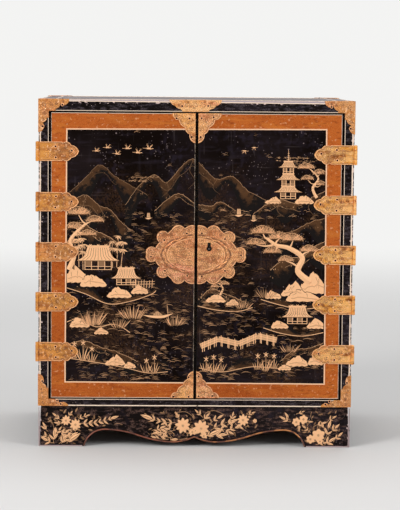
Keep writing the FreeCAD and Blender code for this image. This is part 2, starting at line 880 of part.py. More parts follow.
def lock_plate(node, hand):
    """Half of the lock plate: a lobed sheet with a raised oval field."""
    body = new_body(node)
    upper = lock_plate_outline()
    whole = upper + returned(upper, (1, -1))
    outline = scaled(whole, hand * size.plate_half_width, size.plate_half_height)
    outline[0] = (hand * DOOR_INNER, outline[0][1])
    face = sketch_on(body, "XZ_Plane", node + "_outline")
    last = outline[-1]
    outline[-1] = Bow(last.via, (hand * DOOR_INNER, last.end[1]))
    draw(face, outline)
    pad(body, face, size.plate_sheet)
    field = sketch_on(body, "XZ_Plane", node + "_field", offset=size.plate_sheet)
    wide = hand * size.plate_field_width
    tall = size.plate_field_height
    draw(field, [
        (hand * DOOR_INNER, tall),
        Bow((wide * 0.5, tall * 0.866), (wide * 0.777, tall * 0.63)),
        Bow((wide, ZERO), (wide * 0.777, -tall * 0.63)),
        Bow((wide * 0.5, -tall * 0.866), (hand * DOOR_INNER, -tall)),
    ])
    pad(body, field, size.plate_field)
    place(body, ZERO, FRONT, MIDDLE_HEIGHT)
    return finish(node, body)


def lock_case():
    """An iron box on the back of the right door, open towards the door."""
    low_x = DOOR_INNER + size.bolt_clearance * 2
    high_x = low_x + size.lock_case_width
    low_z = KEY_Z - size.lock_case_height / 2
    high_z = low_z + size.lock_case_height
    back = DOOR_BACK + size.lock_case_depth
    wall = size.lock_case_wall
    box = block("case_box", (low_x, high_x), (DOOR_BACK, back), (low_z, high_z))
    hollow = block("case_hollow", (low_x + wall, high_x - wall), (DOOR_BACK, back - wall),
                   (low_z + wall, high_z - wall))
    mouth = block("case_mouth", (low_x, low_x + wall),
                  (BOLT_Y - size.bolt_clearance, BOLT_Y + size.bolt_thickness + size.bolt_clearance),
                  (BOLT_LOW - size.bolt_clearance, BOLT_LOW + size.bolt_height + size.bolt_clearance))
    finish("lock_case", cut("case", box, [hollow, mouth]))
    pin = doc.addObject("Part::Cylinder", "drill_pin")
    bind(pin, "Radius", size.drill_pin_radius)
    bind(pin, "Height", back - wall - FRONT)
    pin.Placement = FreeCAD.Placement(FreeCAD.Vector(), FreeCAD.Rotation(FreeCAD.Vector(1, 0, 0), 90))
    place(pin, KEY_X, back - wall, KEY_Z)
    finish("lock_drill_pin", pin)
    finish("lock_bolt", block(
        "bolt", (low_x, low_x + size.bolt_length),
        (BOLT_Y, BOLT_Y + size.bolt_thickness), (BOLT_LOW, BOLT_LOW + size.bolt_height)))


def lock_keeper():
    """The staple on the back of the left door that the bolt shoots into."""
    inner = -DOOR_INNER - size.bolt_clearance * 2
    outer = inner - size.keeper_width
    low = BOLT_LOW - size.keeper_room
    high = BOLT_LOW + size.bolt_height + size.keeper_room
    bridge = BOLT_Y + size.bolt_thickness + size.keeper_room
    wall = size.keeper_wall
    finish("lock_keeper", group("keeper", [
        block("keeper_foot_low", (outer, inner), (DOOR_BACK, bridge), (low - wall, low)),
        block("keeper_foot_high", (outer, inner), (DOOR_BACK, bridge), (high, high + wall)),
        block("keeper_bridge", (outer, inner), (bridge, bridge + wall), (low - wall, high + wall)),
    ]))


def doors():
    door_panel("door_left_panel", -1)
    right = door_panel("door_right_panel", 1)
    lock_plate("lock_plate_left", -1)
    plate = lock_plate("lock_plate_right", 1)
    keyhole(right, KEY_Z)
    keyhole(plate, KEY_Z - MIDDLE_HEIGHT)
    lock_case()
    lock_keeper()


# ---------------------------------------------------------------------------------------------
# Drawers
# ---------------------------------------------------------------------------------------------

def drawer(node, hand, row):
    """Five boards: a lacquered front, two sides, a back and a bottom between them."""
    half = size.partition_board / 2
    inner = half + size.drawer_side_clearance
    outer = INNER_HALF - size.drawer_side_clearance
    low_x, high_x = low_first(hand * inner, hand * outer)
    low = row_floor(row) + size.drawer_bottom_clearance
    high = row_floor(row) + bay_height(row) - size.drawer_top_clearance
    front = DRAWER_FRONT + size.drawer_front_board
    back = BACK_FACE - size.drawer_back_room
    side = size.drawer_side_board
    rim = high - size.drawer_rim_drop
    base = low + size.drawer_bottom_board
    finish(node, group(node + "_boards", [
        block(node + "_front", (low_x, high_x), (DRAWER_FRONT, front), (low, high)),
        block(node + "_inner_side", (low_x, low_x + side), (front, back), (low, rim)),
        block(node + "_outer_side", (high_x - side, high_x), (front, back), (low, rim)),
        block(node + "_back", (low_x + side, high_x - side), (back - side, back), (low, rim)),
        block(node + "_bottom", (low_x + side, high_x - side), (front, back - side), (low, base)),
    ]))
    body = new_body(node + "_knob_body")
    profile = sketch_on(body, "XY_Plane", node + "_knob_profile")
    reach = size.knob_reach
    head = size.knob_radius
    shoulder = reach - head
    draw(profile, [
        (ZERO, ZERO),
        (size.knob_plate_radius, ZERO),
        (size.knob_plate_radius, -size.knob_plate),
        (size.knob_neck_radius, -size.knob_plate * 1.5),
        (size.knob_neck_radius, -shoulder + head * 0.35),
        (head, -shoulder),
        Bow((head * 0.6, -shoulder - head * 0.8), (ZERO, -reach)),
    ])
    turning = body.newObject("PartDesign::Revolution", node + "_knob_turning")
    turning.Profile = profile
    turning.ReferenceAxis = (profile, ["V_Axis"])
    turning.Angle = 360
    body.Tip = turning
    place(body, (low_x + high_x) / 2, DRAWER_FRONT, (low + high) / 2)
    finish(node.replace("drawer", "drawer_knob"), body)


def drawers():
    for name, hand in (("left", -1), ("right", 1)):
        for row in range(ROWS):
            drawer(f"drawer_{name}_{ROWS - row}", hand, row)


# ---------------------------------------------------------------------------------------------
# Assembly and export
# ---------------------------------------------------------------------------------------------

stand()
carcass()
mounts()
hinges()
doors()
drawers()
doc.recompute()

for thing in doc.Objects:
    if "Invalid" in thing.State or "Error" in thing.State:
        raise RuntimeError(f"{thing.Name} did not compute: {thing.State}")
for node, thing in finished.items():
    if thing.Shape.isNull() or not thing.Shape.isValid():
        raise RuntimeError(f"{node} has no valid shape")
for node, thing in finished.items():
    thing.Shape.exportStep(f"parts/{node}.step")
print(len(finished), "nodes")
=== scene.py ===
"""Looks of a black lacquer table cabinet with gold decoration, on a low bracket-footed stand."""
import math
import random

import bmesh
import bpy
from mathutils import Matrix, Vector


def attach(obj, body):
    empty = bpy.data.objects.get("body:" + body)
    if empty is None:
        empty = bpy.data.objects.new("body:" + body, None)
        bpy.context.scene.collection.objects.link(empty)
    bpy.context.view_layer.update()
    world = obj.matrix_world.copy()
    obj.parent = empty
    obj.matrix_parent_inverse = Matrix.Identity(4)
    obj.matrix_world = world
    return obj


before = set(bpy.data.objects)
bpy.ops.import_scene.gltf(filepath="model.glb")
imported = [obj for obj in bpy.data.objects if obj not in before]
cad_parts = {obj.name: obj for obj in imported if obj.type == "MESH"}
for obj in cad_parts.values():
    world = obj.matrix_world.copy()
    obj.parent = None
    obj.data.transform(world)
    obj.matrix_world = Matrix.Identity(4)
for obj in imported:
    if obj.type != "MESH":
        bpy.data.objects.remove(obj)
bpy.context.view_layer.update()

# ----------------------------------------------------------------------
# Room
# The cabinet stands on a pale floor in soft light from both sides and from above. A long lens
# looks at it from a little above its top edge and a little to its left.
# ----------------------------------------------------------------------
bpy.context.scene.view_settings.view_transform = "Standard"


class Wire:
    """A node's output. Arithmetic on wires adds Math nodes, and node() adds any other node."""

    def __init__(self, socket):
        self.socket = socket

    def node(self, kind, settings=(), inputs=(), out=0):
        """Adds a node: its settings are made first, then its sockets get values or links."""
        made = self.socket.id_data.nodes.new(kind)
        for name, value in dict(settings).items():
            setattr(made, name, value)
        for name, value in dict(inputs).items():
            if isinstance(value, Wire):
                made.id_data.links.new(value.socket, made.inputs[name])
            else:
                made.inputs[name].default_value = value
        return Wire(made.outputs[out])

    def maths(self, operation, *values):
        return self.node("ShaderNodeMath", {"operation": operation}, enumerate(values))

    def __add__(self, other):
        return self.maths("ADD", self, other)

    def __sub__(self, other):
        return self.maths("SUBTRACT", self, other)

    def __mul__(self, other):
        return self.maths("MULTIPLY", self, other)

    def __truediv__(self, other):
        return self.maths("DIVIDE", self, other)

    def __rsub__(self, other):
        return self.maths("SUBTRACT", other, self)

    __radd__ = __add__
    __rmul__ = __mul__

    def power(self, exponent):
        return self.maths("POWER", self, exponent)

    def least(self, other):
        return self.maths("MINIMUM", self, other)

    def most(self, other):
        return self.maths("MAXIMUM", self, other)

    def size(self):
        return self.maths("ABSOLUTE", self)

    def rise(self, low, high):
        """0 below low, 1 above high, and a smooth rise between them; high may be the smaller."""
        return self.node("ShaderNodeMapRange", {"interpolation_type": "SMOOTHSTEP"},
                         {"Value": self, "From Min": low, "From Max": high})

    def blend(self, first, second):
        """The colour first where this is 0, and second where it is 1."""
        def colour(value):
            return value if isinstance(value, Wire) else (*value, 1)
        return self.node("ShaderNodeMix", {"data_type": "RGBA"},
                         {0: self, 6: colour(first), 7: colour(second)}, out=2)


FLOOR_LIT, FLOOR_SEEN = (0.45, 0.44, 0.43), (0.69, 0.68, 0.665)
WALL_SEEN, WALL_FROM, WALL_TO = (0.90, 0.90, 0.89, 1), 0.5, 3.2
ROOM_TINT, ROOM_LIGHT, ROOM_SEEN = (0.94, 0.96, 1, 1), 0.46, 0.92
CAMERA_PLACE, CAMERA_TURNS = (-0.0599, -3.0592, 0.5635), (-1.297, -5.465, -0.506)


def looked_at(tree):
    """1 where the camera or a reflection sees the surface, and 0 for the light that it gives."""
    light = tree.nodes.new("ShaderNodeLightPath")
    return Wire(light.outputs["Is Camera Ray"]).most(Wire(light.outputs["Is Glossy Ray"]))


def floor_material():
    """Matt pale grey, which goes over into plain pale light on the wall behind."""
    made = bpy.data.materials.new("pale_floor")
    made.use_nodes = True
    shader = made.node_tree.nodes["Principled BSDF"]
    shader.inputs["Roughness"].default_value = 0.9
    shader.inputs["Specular IOR Level"].default_value = 0.1
    straight = looked_at(made.node_tree)
    colour = straight.blend(FLOOR_LIT, FLOOR_SEEN)
    made.node_tree.links.new(colour.socket, shader.inputs["Base Color"])
    place = Wire(made.node_tree.nodes.new("ShaderNodeTexCoord").outputs["Object"])
    behind = place.node("ShaderNodeSeparateXYZ", {}, {"Vector": place}, out="Y").rise(
        WALL_FROM, WALL_TO)
    white = place.node("ShaderNodeEmission", {}, {"Color": WALL_SEEN, "Strength": 1.0})
    shown = place.node("ShaderNodeMixShader", {}, {
        0: behind * straight, 1: Wire(shader.outputs["BSDF"]), 2: white})
    made.node_tree.links.new(shown.socket,
                             made.node_tree.nodes["Material Output"].inputs["Surface"])
    return made


def room():
    """One sheet for floor and wall, the room's own light and three soft round lamps."""
    sheet = bpy.data.meshes.new("floor")
    far, near, side, height = 5, -6, 8, 6
    sheet.from_pydata([(-side, near, 0), (side, near, 0), (side, far, 0), (-side, far, 0),
                       (side, far, height), (-side, far, height)], [],
                      [(0, 1, 2, 3), (3, 2, 4, 5)])
    floor = bpy.data.objects.new("floor", sheet)
    bpy.context.scene.collection.objects.link(floor)
    bend = floor.modifiers.new("bend", "BEVEL")
    bend.width, bend.segments, bend.limit_method = 1.5, 12, "ANGLE"
    sheet.materials.append(floor_material())
    sheet.shade_smooth()
    world = bpy.data.worlds.new("room")
    bpy.context.scene.world = world
    world.use_nodes = True
    sky = world.node_tree.nodes["Background"]
    sky.inputs["Color"].default_value = ROOM_TINT
    seen = looked_at(world.node_tree)
    level = seen.node("ShaderNodeMix", {}, {0: seen, 2: ROOM_LIGHT, 3: ROOM_SEEN})
    world.node_tree.links.new(level.socket, sky.inputs["Strength"])
    for name, place, aim, size, power in (
            ("left_lamp", (-2.6, -2.6, 2.2), (0, 0, 0.3), 1.6, 86),
            ("right_lamp", (2.8, -2.2, 1.6), (0, 0, 0.3), 1.8, 46),
            ("top_lamp", (0.1, 0.4, 2.8), (0, 0, 0.2), 1.8, 30)):
        lamp = bpy.data.lights.new(name, "AREA")
        lamp.shape, lamp.size, lamp.energy = "DISK", size, power
        holder = bpy.data.objects.new(name, lamp)
        holder.location = place
        holder.rotation_euler = (Vector(aim) - Vector(place)).to_track_quat("-Z", "Y").to_euler()
        bpy.context.scene.collection.objects.link(holder)


def camera():
    """A long lens, a little above the cabinet's upper edge."""
    lens = bpy.data.cameras.new("camera")
    lens.sensor_width, lens.lens, lens.clip_end = 36, 140.99, 60
    holder = bpy.data.objects.new("camera", lens)
    yaw, pitch, roll = (math.radians(angle) for angle in CAMERA_TURNS)
    turn = (Matrix.Rotation(yaw, 4, "Z") @ Matrix.Rotation(pitch, 4, "X")
            @ Matrix.Rotation(roll, 4, "Y") @ Matrix.Rotation(math.pi / 2, 4, "X"))
    holder.matrix_world = Matrix.Translation(CAMERA_PLACE) @ turn
    bpy.context.scene.collection.objects.link(holder)
    bpy.context.scene.camera = holder


room()
camera()

# ----------------------------------------------------------------------
# Black lacquer boards
# Softwood boards under many coats of black lacquer, rubbed flat and polished. Age has given the
# lacquer a faint violet bloom, pinholes and hairline scratches, and has rubbed it thin at edges.
# ----------------------------------------------------------------------
MM = 0.001
CARCASS_WIDE, CARCASS_DEEP, CARCASS_FOOT, CARCASS_TOP = 460, 300, 60.5, 510.5
FRONT, BACK = -148.15, 151.85
half_wide, half_deep, centre_y = CARCASS_WIDE / 2, CARCASS_DEEP / 2, (FRONT + BACK) / 2


class Finish:
    """A material with one Principled shader, and the wires that its patterns start from."""

    def __init__(self, name, **constants):
        self.material = bpy.data.materials.new(name)
        self.material.use_nodes = True
        self.tree = self.material.node_tree
        self.shader = self.tree.nodes["Principled BSDF"]
        for socket, value in constants.items():
            self.shader.inputs[socket.replace("_", " ")].default_value = value
        self.place = Wire(self.tree.nodes.new("ShaderNodeTexCoord").outputs["Object"])

    def axis(self, name):
        """One of X, Y and Z, in metres."""
        return self.place.node("ShaderNodeSeparateXYZ", {}, {"Vector": self.place}, out=name)

    def stretched(self, scale, turn=(0, 0, 0)):
        """The place for a pattern that is drawn out; a large scale makes it short that way."""
        return self.place.node("ShaderNodeMapping", {},
                               {"Vector": self.place, "Scale": scale, "Rotation": turn})

    def noise(self, scale, detail, vector=None, distortion=0):
        return self.place.node("ShaderNodeTexNoise", {}, {
            "Vector": vector or self.place, "Scale": scale, "Detail": detail,
            "Distortion": distortion})

    def dots(self, scale):
        """How far it is to the next of the dots strewn at this scale."""
        return self.place.node("ShaderNodeTexVoronoi", {}, {"Vector": self.place, "Scale": scale})

    def attribute(self, name):
        return self.place.node("ShaderNodeAttribute", {"attribute_name": name}, out="Fac")

    def bump(self, height, strength, distance):
        return self.place.node("ShaderNodeBump", {}, {
            "Height": height, "Strength": strength, "Distance": distance})

    def feed(self, **wires):
        """Leads what varies to the shader, and gives the finished material."""
        for socket, wire in wires.items():
            self.tree.links.new(wire.socket, self.shader.inputs[socket.replace("_", " ")])
        return self.material


def aged_black(finish):
    """Colour and roughness of old black lacquer: violet bloom and mottling, dusty streaks and
    smears, pale pinholes and scratches."""
    bloom = finish.noise(9, 4).rise(0.40, 0.70)
    streaks = finish.noise(22, 6, finish.stretched((1, 1, 7), (0, 0.5, 0))).rise(0.53, 0.72)
    smears = finish.noise(30, 5, finish.stretched((3, 3, 0.6), (0, 0.15, 0))).rise(0.58, 0.76)
    pits = finish.dots(230).rise(0.20, 0.08) * finish.noise(28, 2).rise(0.44, 0.58)
    pits = pits.most(finish.dots(95).rise(0.13, 0.07) * finish.noise(16, 2).rise(0.52, 0.60))
    scratches = (finish.noise(60, 2, finish.stretched((0.25, 0.25, 6), (0, 0.35, 0)))
                 .rise(0.68, 0.73)
                 + finish.noise(60, 2, finish.stretched((6, 6, 0.3), (0, 0.2, 0))).rise(0.69, 0.74))
    colour = bloom.blend((0.0038, 0.0015, 0.0008), (0.0120, 0.0072, 0.0074))
    colour = (streaks * 0.26).blend(colour, (0.036, 0.026, 0.036))
    colour = (smears * 0.16).blend(colour, (0.046, 0.036, 0.046))
    mottled = finish.noise(95, 5).rise(0.48, 0.66) * finish.noise(14, 3).rise(0.40, 0.62)
    colour = (mottled * 0.50).blend(colour, (0.026, 0.019, 0.030))
    colour = (pits * 0.75).blend(colour, (0.27, 0.20, 0.19))
    colour = (scratches * (bloom * 0.16 + 0.05)).blend(colour, (0.22, 0.17, 0.16))
    roughness = finish.noise(22, 3) * 0.25 + 0.16 + pits * 0.3 + smears * 0.15
    return colour, roughness


def black_lacquer():
    """The boards of carcass and stand, hazed in front, chipped along the arrises, and greyed in
    patches on top by scuffs and a painted reflection."""
    finish = Finish("black_lacquer", Specular_IOR_Level=0.07)
    x, y, z = (finish.axis(name) for name in "XYZ")
    colour, roughness = aged_black(finish)
    rubbed = finish.noise(170, 6, finish.stretched((0.6, 1, 1.6))).rise(0.47, 0.62)
    rubbed = rubbed * finish.noise(620, 2).rise(0.34, 0.58)
    dust = z.rise((CARCASS_FOOT + 0.7) * MM, (CARCASS_FOOT - 0.5) * MM).blend(
        (0.070, 0.054, 0.062), (0.120, 0.066, 0.052))
    facing_front = y.rise((FRONT + 8.15) * MM, (FRONT + 2.15) * MM) * 0.68 + 0.20
    colour = (rubbed * facing_front).blend(colour, dust)
    near_x = x.size().rise((half_wide - 8.5) * MM, (half_wide - 0.5) * MM)
    near_y = (y - centre_y * MM).size().rise((half_deep - 7.5) * MM, (half_deep - 0.5) * MM)
    near_z = z.rise((CARCASS_TOP - 10.5) * MM, (CARCASS_TOP - 1) * MM)
    arris = near_x.least(near_y).most(near_x.least(near_z)).most(near_y.least(near_z))
    chips = (finish.noise(230, 5) + arris * 0.225).rise(0.745, 0.767)
    colour = (chips * 0.92).blend(colour, (0.70, 0.52, 0.47))
    # Scuffs and painted reflection: grey patches on the top face alone, which is also made a little
    # rougher.
    top_scuff_and_sheen = z.rise((CARCASS_TOP - 0.7) * MM, (CARCASS_TOP - 0.1) * MM)
    dull = finish.noise(42, 6, finish.stretched((0.40, 1.5, 1))).rise(0.28, 0.70) * top_scuff_and_sheen
    colour = (dull * 0.70).blend(colour, (0.190, 0.132, 0.148))
    roughness = roughness + top_scuff_and_sheen * 0.06
    ripple = finish.bump(finish.noise(55, 2), 0.05, 0.001)
    return finish.feed(Base_Color=colour, Roughness=roughness, Normal=ripple)


def dress(material, *names):
    """Gives CAD nodes their finish."""
    for name in names:
        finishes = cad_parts[name].data.materials
        finishes.clear()
        finishes.append(material)


black = black_lacquer()
dress(black, "carcass_left_side", "carcass_right_side", "carcass_top", "carcass_bottom",
      "carcass_back", "stand_front_apron", "stand_back_apron", "stand_left_apron",
      "stand_right_apron")

# ----------------------------------------------------------------------
# Gold lines of the carcass
# Narrow lines of gold powder, sprinkled on wet lacquer along every arris. They stand a hair
# proud of the black, and handling has broken them in places.
# ----------------------------------------------------------------------


def worn_gold(name, pale, dim, wear):
    """Gold powder in lacquer: dim where the tone is 0 and pale where it is 1, thinned out to
    black where the fade is 1, and rubbed through by wear."""
    finish = Finish(name, Specular_IOR_Level=0.12)
    powder = finish.noise(2600, 1)
    patchy = finish.noise(120, 3)
    tone = finish.attribute("tone")

    def darker(colour, share):
        return [part * share for part in colour]
    grown_dim = finish.noise(35, 2).rise(0.3, 0.7).blend(darker(dim, 0.55), dim)
    gold = tone.rise(0.18, 0.92).blend(grown_dim, pale)
    gold = (finish.attribute("line").rise(0.68, 0.92) * 0.72).blend(gold, darker(dim, 0.7))
    gold = (powder.rise(0.38, 0.66) * tone * 0.16).blend(gold, darker(pale, 0.6))
    gold = (finish.noise(24, 2).rise(0.55, 0.72) * tone * 0.22).blend(gold, darker(pale, 0.78))
    kept = 1 - finish.attribute("fade")
    kept = (kept * 1.35 - powder * 0.75 - (1 - tone) * finish.noise(150, 4).rise(0.40, 0.66) * 0.35)
    kept = kept.rise(0.0, 0.35)
    kept = kept * (1 - (finish.noise(260, 3) * 0.6 + patchy * 0.4).rise(0.70 - wear, 0.80 - wear))
    colour = kept.blend((0.0052, 0.0028, 0.0020), gold)
    return finish.feed(Base_Color=colour, Metallic=kept * 0.08, Roughness=kept * 0.22 + 0.26,
                       Normal=finish.bump(powder, 0.15, 0.0004))


def curved(points, steps):
    """A smooth line through the points."""
    line = []
    padded = [points[0], *points, points[-1]]
    for before, start, end, after in zip(padded, padded[1:], padded[2:], padded[3:]):
        for step in range(steps):
            t = step / steps
            line.append(tuple(
                0.5 * (2 * s + (e - b) * t + (2 * b - 5 * s + 4 * e - a) * t * t
                       + (3 * s - b - 3 * e + a) * t ** 3)
                for b, s, e, a in zip(before, start, end, after)))
    return line + [tuple(points[-1])]


class Inlay:
    """Flat gold shapes on a lacquered face, in millimetres, with x and z seen from the front."""

    def __init__(self):
        self.form = bmesh.new()
        self.tone = self.form.verts.layers.float.new("tone")
        self.fade = self.form.verts.layers.float.new("fade")

    def corner(self, x, z, lift, tone, fade=0):
        """One corner, so far proud of the face; tone and fade are read by the gold."""
        made = self.form.verts.new((x * MM, -lift * MM, z * MM))
        made[self.tone], made[self.fade] = tone, fade
        return made

    def patch(self, outline, lift, tone):
        """A filled outline."""
        turning = sum(a[0] * b[1] - b[0] * a[1] for a, b in zip(outline, outline[1:] + outline[:1]))
        if turning < 0:
            outline = outline[::-1]
        face = self.form.faces.new([self.corner(x, z, lift, tone) for x, z in outline])
        bmesh.ops.triangulate(self.form, faces=[face])

    def rows(self, lines):
        """Quads between lines of as many corners, each line to the left of the one before."""
        for first, second in zip(lines, lines[1:]):
            for a, b, c, d in zip(first, first[1:], second[1:], second):
                self.form.faces.new((a, b, c, d))

    def stroke(self, line, width, lift, tone, taper=0.0, fade=0.0):
        """A brushed line, rounded across; taper is how much thinner it ends than it starts."""
        lines = ([], [], [])
        for index, (x, z) in enumerate(line):
            near, far = line[max(index - 1, 0)], line[min(index + 1, len(line) - 1)]
            run = math.hypot(far[0] - near[0], far[1] - near[1]) or 1
            across = (-(far[1] - near[1]) / run, (far[0] - near[0]) / run)
            half = width / 2 * (1 - taper * index / (len(line) - 1))
            for side, row in zip((-1, 0, 1), lines):
                row.append(self.corner(x + across[0] * half * side, z + across[1] * half * side,
                                       lift + (0 if side else half * 0.25), tone, fade))
        self.rows(lines)

    def slope(self, ridge, depth, lift, tone, start, steps=5):
        """Gold dust that is dense along a ridge, and thins out below it and to its ends; start
        is how thin it is at the ridge."""
        ends = [max(0, 1 - min(i, len(ridge) - 1 - i) / len(ridge) * 6) for i in range(len(ridge))]
        lines = [[self.corner(x, z - depth * step / steps * (0.6 + 0.4 * math.sin(x * 0.11)), lift,
                              tone, max(start + (1 - start) * step / steps, end))
                  for (x, z), end in zip(ridge, ends)] for step in range(steps, -1, -1)]
        self.rows(lines)

    def trimmed(self, x_low, x_high, z_low, z_high):
        """A copy that is cut off at the edges of a panel."""
        copy = Inlay()
        copy.form.free()
        copy.form = self.form.copy()
        for place, away in (((x_low, 0, 0), (-1, 0, 0)), ((x_high, 0, 0), (1, 0, 0)),
                            ((0, 0, z_low), (0, 0, -1)), ((0, 0, z_high), (0, 0, 1))):
            form = copy.form
            bmesh.ops.bisect_plane(form, geom=form.verts[:] + form.edges[:] + form.faces[:],
                                   plane_co=Vector(place) * MM, plane_no=away, clear_outer=True)
        return copy

    def laid(self, name, body, material, onto, thick=0.4):
        """Gives the shapes their thickness, which is mostly sunk in the lacquer, and fixes them."""
        form = self.form
        sunk = bmesh.ops.extrude_face_region(form, geom=form.faces[:], use_keep_orig=True)
        bmesh.ops.translate(form, vec=(0, thick * MM, 0),
                            verts=[v for v in sunk["geom"] if isinstance(v, bmesh.types.BMVert)])
        bmesh.ops.recalc_face_normals(form, faces=form.faces[:])
        mesh = bpy.data.meshes.new(name)
        form.to_mesh(mesh)
        form.free()
        mesh.transform(onto)
        mesh.materials.append(material)
        return settled(bpy.data.objects.new(name, mesh), body)


def settled(piece, body):
    """Puts a finished piece on the body that carries it."""
    if not piece.users_collection:
        bpy.context.scene.collection.objects.link(piece)
    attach(piece, body)
    return piece


def moved(x=0, y=0, z=0):
    """A shift in millimetres."""
    return Matrix.Translation(Vector((x, y, z)) * MM)


def brushed(start, end, wander=0.10):
    """A straight line drawn by hand."""
    length = math.hypot(end[0] - start[0], end[1] - start[1])
    count = max(int(length / 6), 2)
    return [(start[0] + (end[0] - start[0]) * t / count + random.uniform(-wander, wander),
             start[1] + (end[1] - start[1]) * t / count + random.uniform(-wander, wander))
            for t in range(count + 1)]


def framed(inlay, x_low, x_high, z_low, z_high, width, tone=0.9, lift=0.12, worn=(0.0, 0.0)):
    """Four lines just inside the edges of a face; worn is how far handling has thinned the low
    upright and the high one."""
    half = width / 2
    for fade, start, end in ((0.0, (x_low, z_low + half), (x_high, z_low + half)),
                             (worn[1], (x_high - half, z_low), (x_high - half, z_high)),
                             (0.0, (x_high, z_high - half), (x_low, z_high - half)),
                             (worn[0], (x_low + half, z_high), (x_low + half, z_low))):
        inlay.stroke(brushed(start, end), width, lift, tone, fade=fade)


def swung(angle, axis="Z"):
    """A turn in degrees."""
    return Matrix.Rotation(math.radians(angle), 4, axis)


random.seed(4)
line_gold = worn_gold("line_gold", (1.0, 0.78, 0.60), (0.30, 0.19, 0.10), 0.10)
side_board, top_board, bottom_board = 14.5, 16.5, 10.5
carcass_lines = Inlay()
carcass_lines.stroke(brushed((-half_wide, CARCASS_FOOT + 0.8), (half_wide, CARCASS_FOOT + 0.8)),
                     1.6, 0.12, 1)
carcass_lines.stroke(brushed((-half_wide, CARCASS_TOP - 1.8), (half_wide, CARCASS_TOP - 3.4)), 1.3,
                     0.16, 1)
for hand in (-1, 1):
    edge = hand * (half_wide - 2.3)
    carcass_lines.stroke(brushed((edge, CARCASS_FOOT), (edge, CARCASS_TOP)), 1.7, 0.12, 1,
                         fade=0.15)
framed(carcass_lines, side_board - half_wide - 1.1, half_wide - side_board + 1.1,
       CARCASS_FOOT + bottom_board - 1.1, CARCASS_TOP - top_board + 1.1, 0.9, 0.75,
       worn=(0.30, 0.30))
carcass_lines.laid("carcass_front_lines", "cabinet", line_gold, moved(y=FRONT))

rubbed_grey = worn_gold("rubbed_grey", (0.46, 0.37, 0.40), (0.12, 0.085, 0.09), -0.10)
arris = Inlay()
arris.patch([(-half_wide, CARCASS_TOP), (-half_wide, CARCASS_TOP - 1.1),
             (half_wide, CARCASS_TOP - 2.9), (half_wide, CARCASS_TOP)], 0.06, 1)
arris.laid("carcass_top_arris", "cabinet", rubbed_grey, moved(y=FRONT))

ONTO_LEFT, ONTO_RIGHT = moved(x=-half_wide) @ swung(-90), moved(x=half_wide) @ swung(90)
ONTO_TOP = moved(z=CARCASS_TOP) @ swung(-90, "X")
EDGE_INSET, PANEL_INSET = 1.6, 22
for name, onto, x_low, x_high, z_low, z_high, foot_inset in (
        ("left", ONTO_LEFT, -BACK, -FRONT, CARCASS_FOOT, CARCASS_TOP, 0),
        ("right", ONTO_RIGHT, FRONT, BACK, CARCASS_FOOT, CARCASS_TOP, 0),
        ("top", ONTO_TOP, -half_wide, half_wide, FRONT, BACK, EDGE_INSET)):
    lines = Inlay()
    framed(lines, x_low + EDGE_INSET, x_high - EDGE_INSET, z_low + foot_inset,
           z_high - EDGE_INSET, 1.3)
    framed(lines, x_low + PANEL_INSET, x_high - PANEL_INSET, z_low + PANEL_INSET,
           z_high - PANEL_INSET, 1.4)
    lines.laid(f"carcass_{name}_lines", "cabinet", line_gold, onto)

# ----------------------------------------------------------------------
# Stand
# Four aprons mitred at the corners, cut to bracket feet, with a half-round bead glued round each
# arch. Sprays of leaves and blossoms are built up in gold on the black.
# ----------------------------------------------------------------------
FOOT_OUT, FLARE = 1.0, 2.5


def tree_mesh(name, base, material, recipe, **sizes):
    """Runs a Geometry Nodes tree on a base object and leaves it as a plain mesh. The recipe gets
    the base geometry and the named sizes as wires, and returns the finished geometry."""
    tree = bpy.data.node_groups.new(name, "GeometryNodeTree")
    tree.interface.new_socket("Geometry", in_out="INPUT", socket_type="NodeSocketGeometry")
    tree.interface.new_socket("Geometry", in_out="OUTPUT", socket_type="NodeSocketGeometry")
    for size in sizes:
        tree.interface.new_socket(size.replace("_", " "), in_out="INPUT",
                                  socket_type="NodeSocketFloat")
    start = tree.nodes.new("NodeGroupInput")
    wires = {size: Wire(start.outputs[size.replace("_", " ")]) for size in sizes}
    shape = recipe(Wire(start.outputs["Geometry"]), **wires)
    shape = shape.node("GeometryNodeRealizeInstances", {}, {"Geometry": shape})
    shape = shape.node("GeometryNodeSetMaterial", {}, {"Geometry": shape, "Material": material})
    end = tree.nodes.new("NodeGroupOutput")
    tree.links.new(shape.socket, end.inputs[0])
    modifier = base.modifiers.new(name, "NODES")
    modifier.node_group = tree
    for item in tree.interface.items_tree:
        if item.in_out == "INPUT" and item.socket_type == "NodeSocketFloat":
            modifier[item.identifier] = float(sizes[item.name.replace(" ", "_")])
    bpy.context.scene.collection.objects.link(base)
    shown = base.evaluated_get(bpy.context.evaluated_depsgraph_get())
    mesh = bpy.data.meshes.new_from_object(shown)
    base.modifiers.remove(modifier)
    base.data = mesh
    return base


def bead_along(path, Bead_Radius):
    """A round moulding that follows the edges of the base mesh."""
    line = path.node("GeometryNodeMeshToCurve", {}, {"Mesh": path})
    ring = path.node("GeometryNodeCurvePrimitiveCircle", {},
                     {"Resolution": 8, "Radius": Bead_Radius})
    return path.node("GeometryNodeCurveToMesh", {}, {"Curve": line, "Profile Curve": ring,
                                                    "Fill Caps": True})


def path_object(name, lines):
    """Edges along one or more lines of points, in metres."""
    mesh = bpy.data.meshes.new(name)
    points, edges = [], []
    for line in lines:
        edges += [(len(points) + i, len(points) + i + 1) for i in range(len(line) - 1)]
        points += line
    mesh.from_pydata(points, edges, [])
    return bpy.data.objects.new(name, mesh)


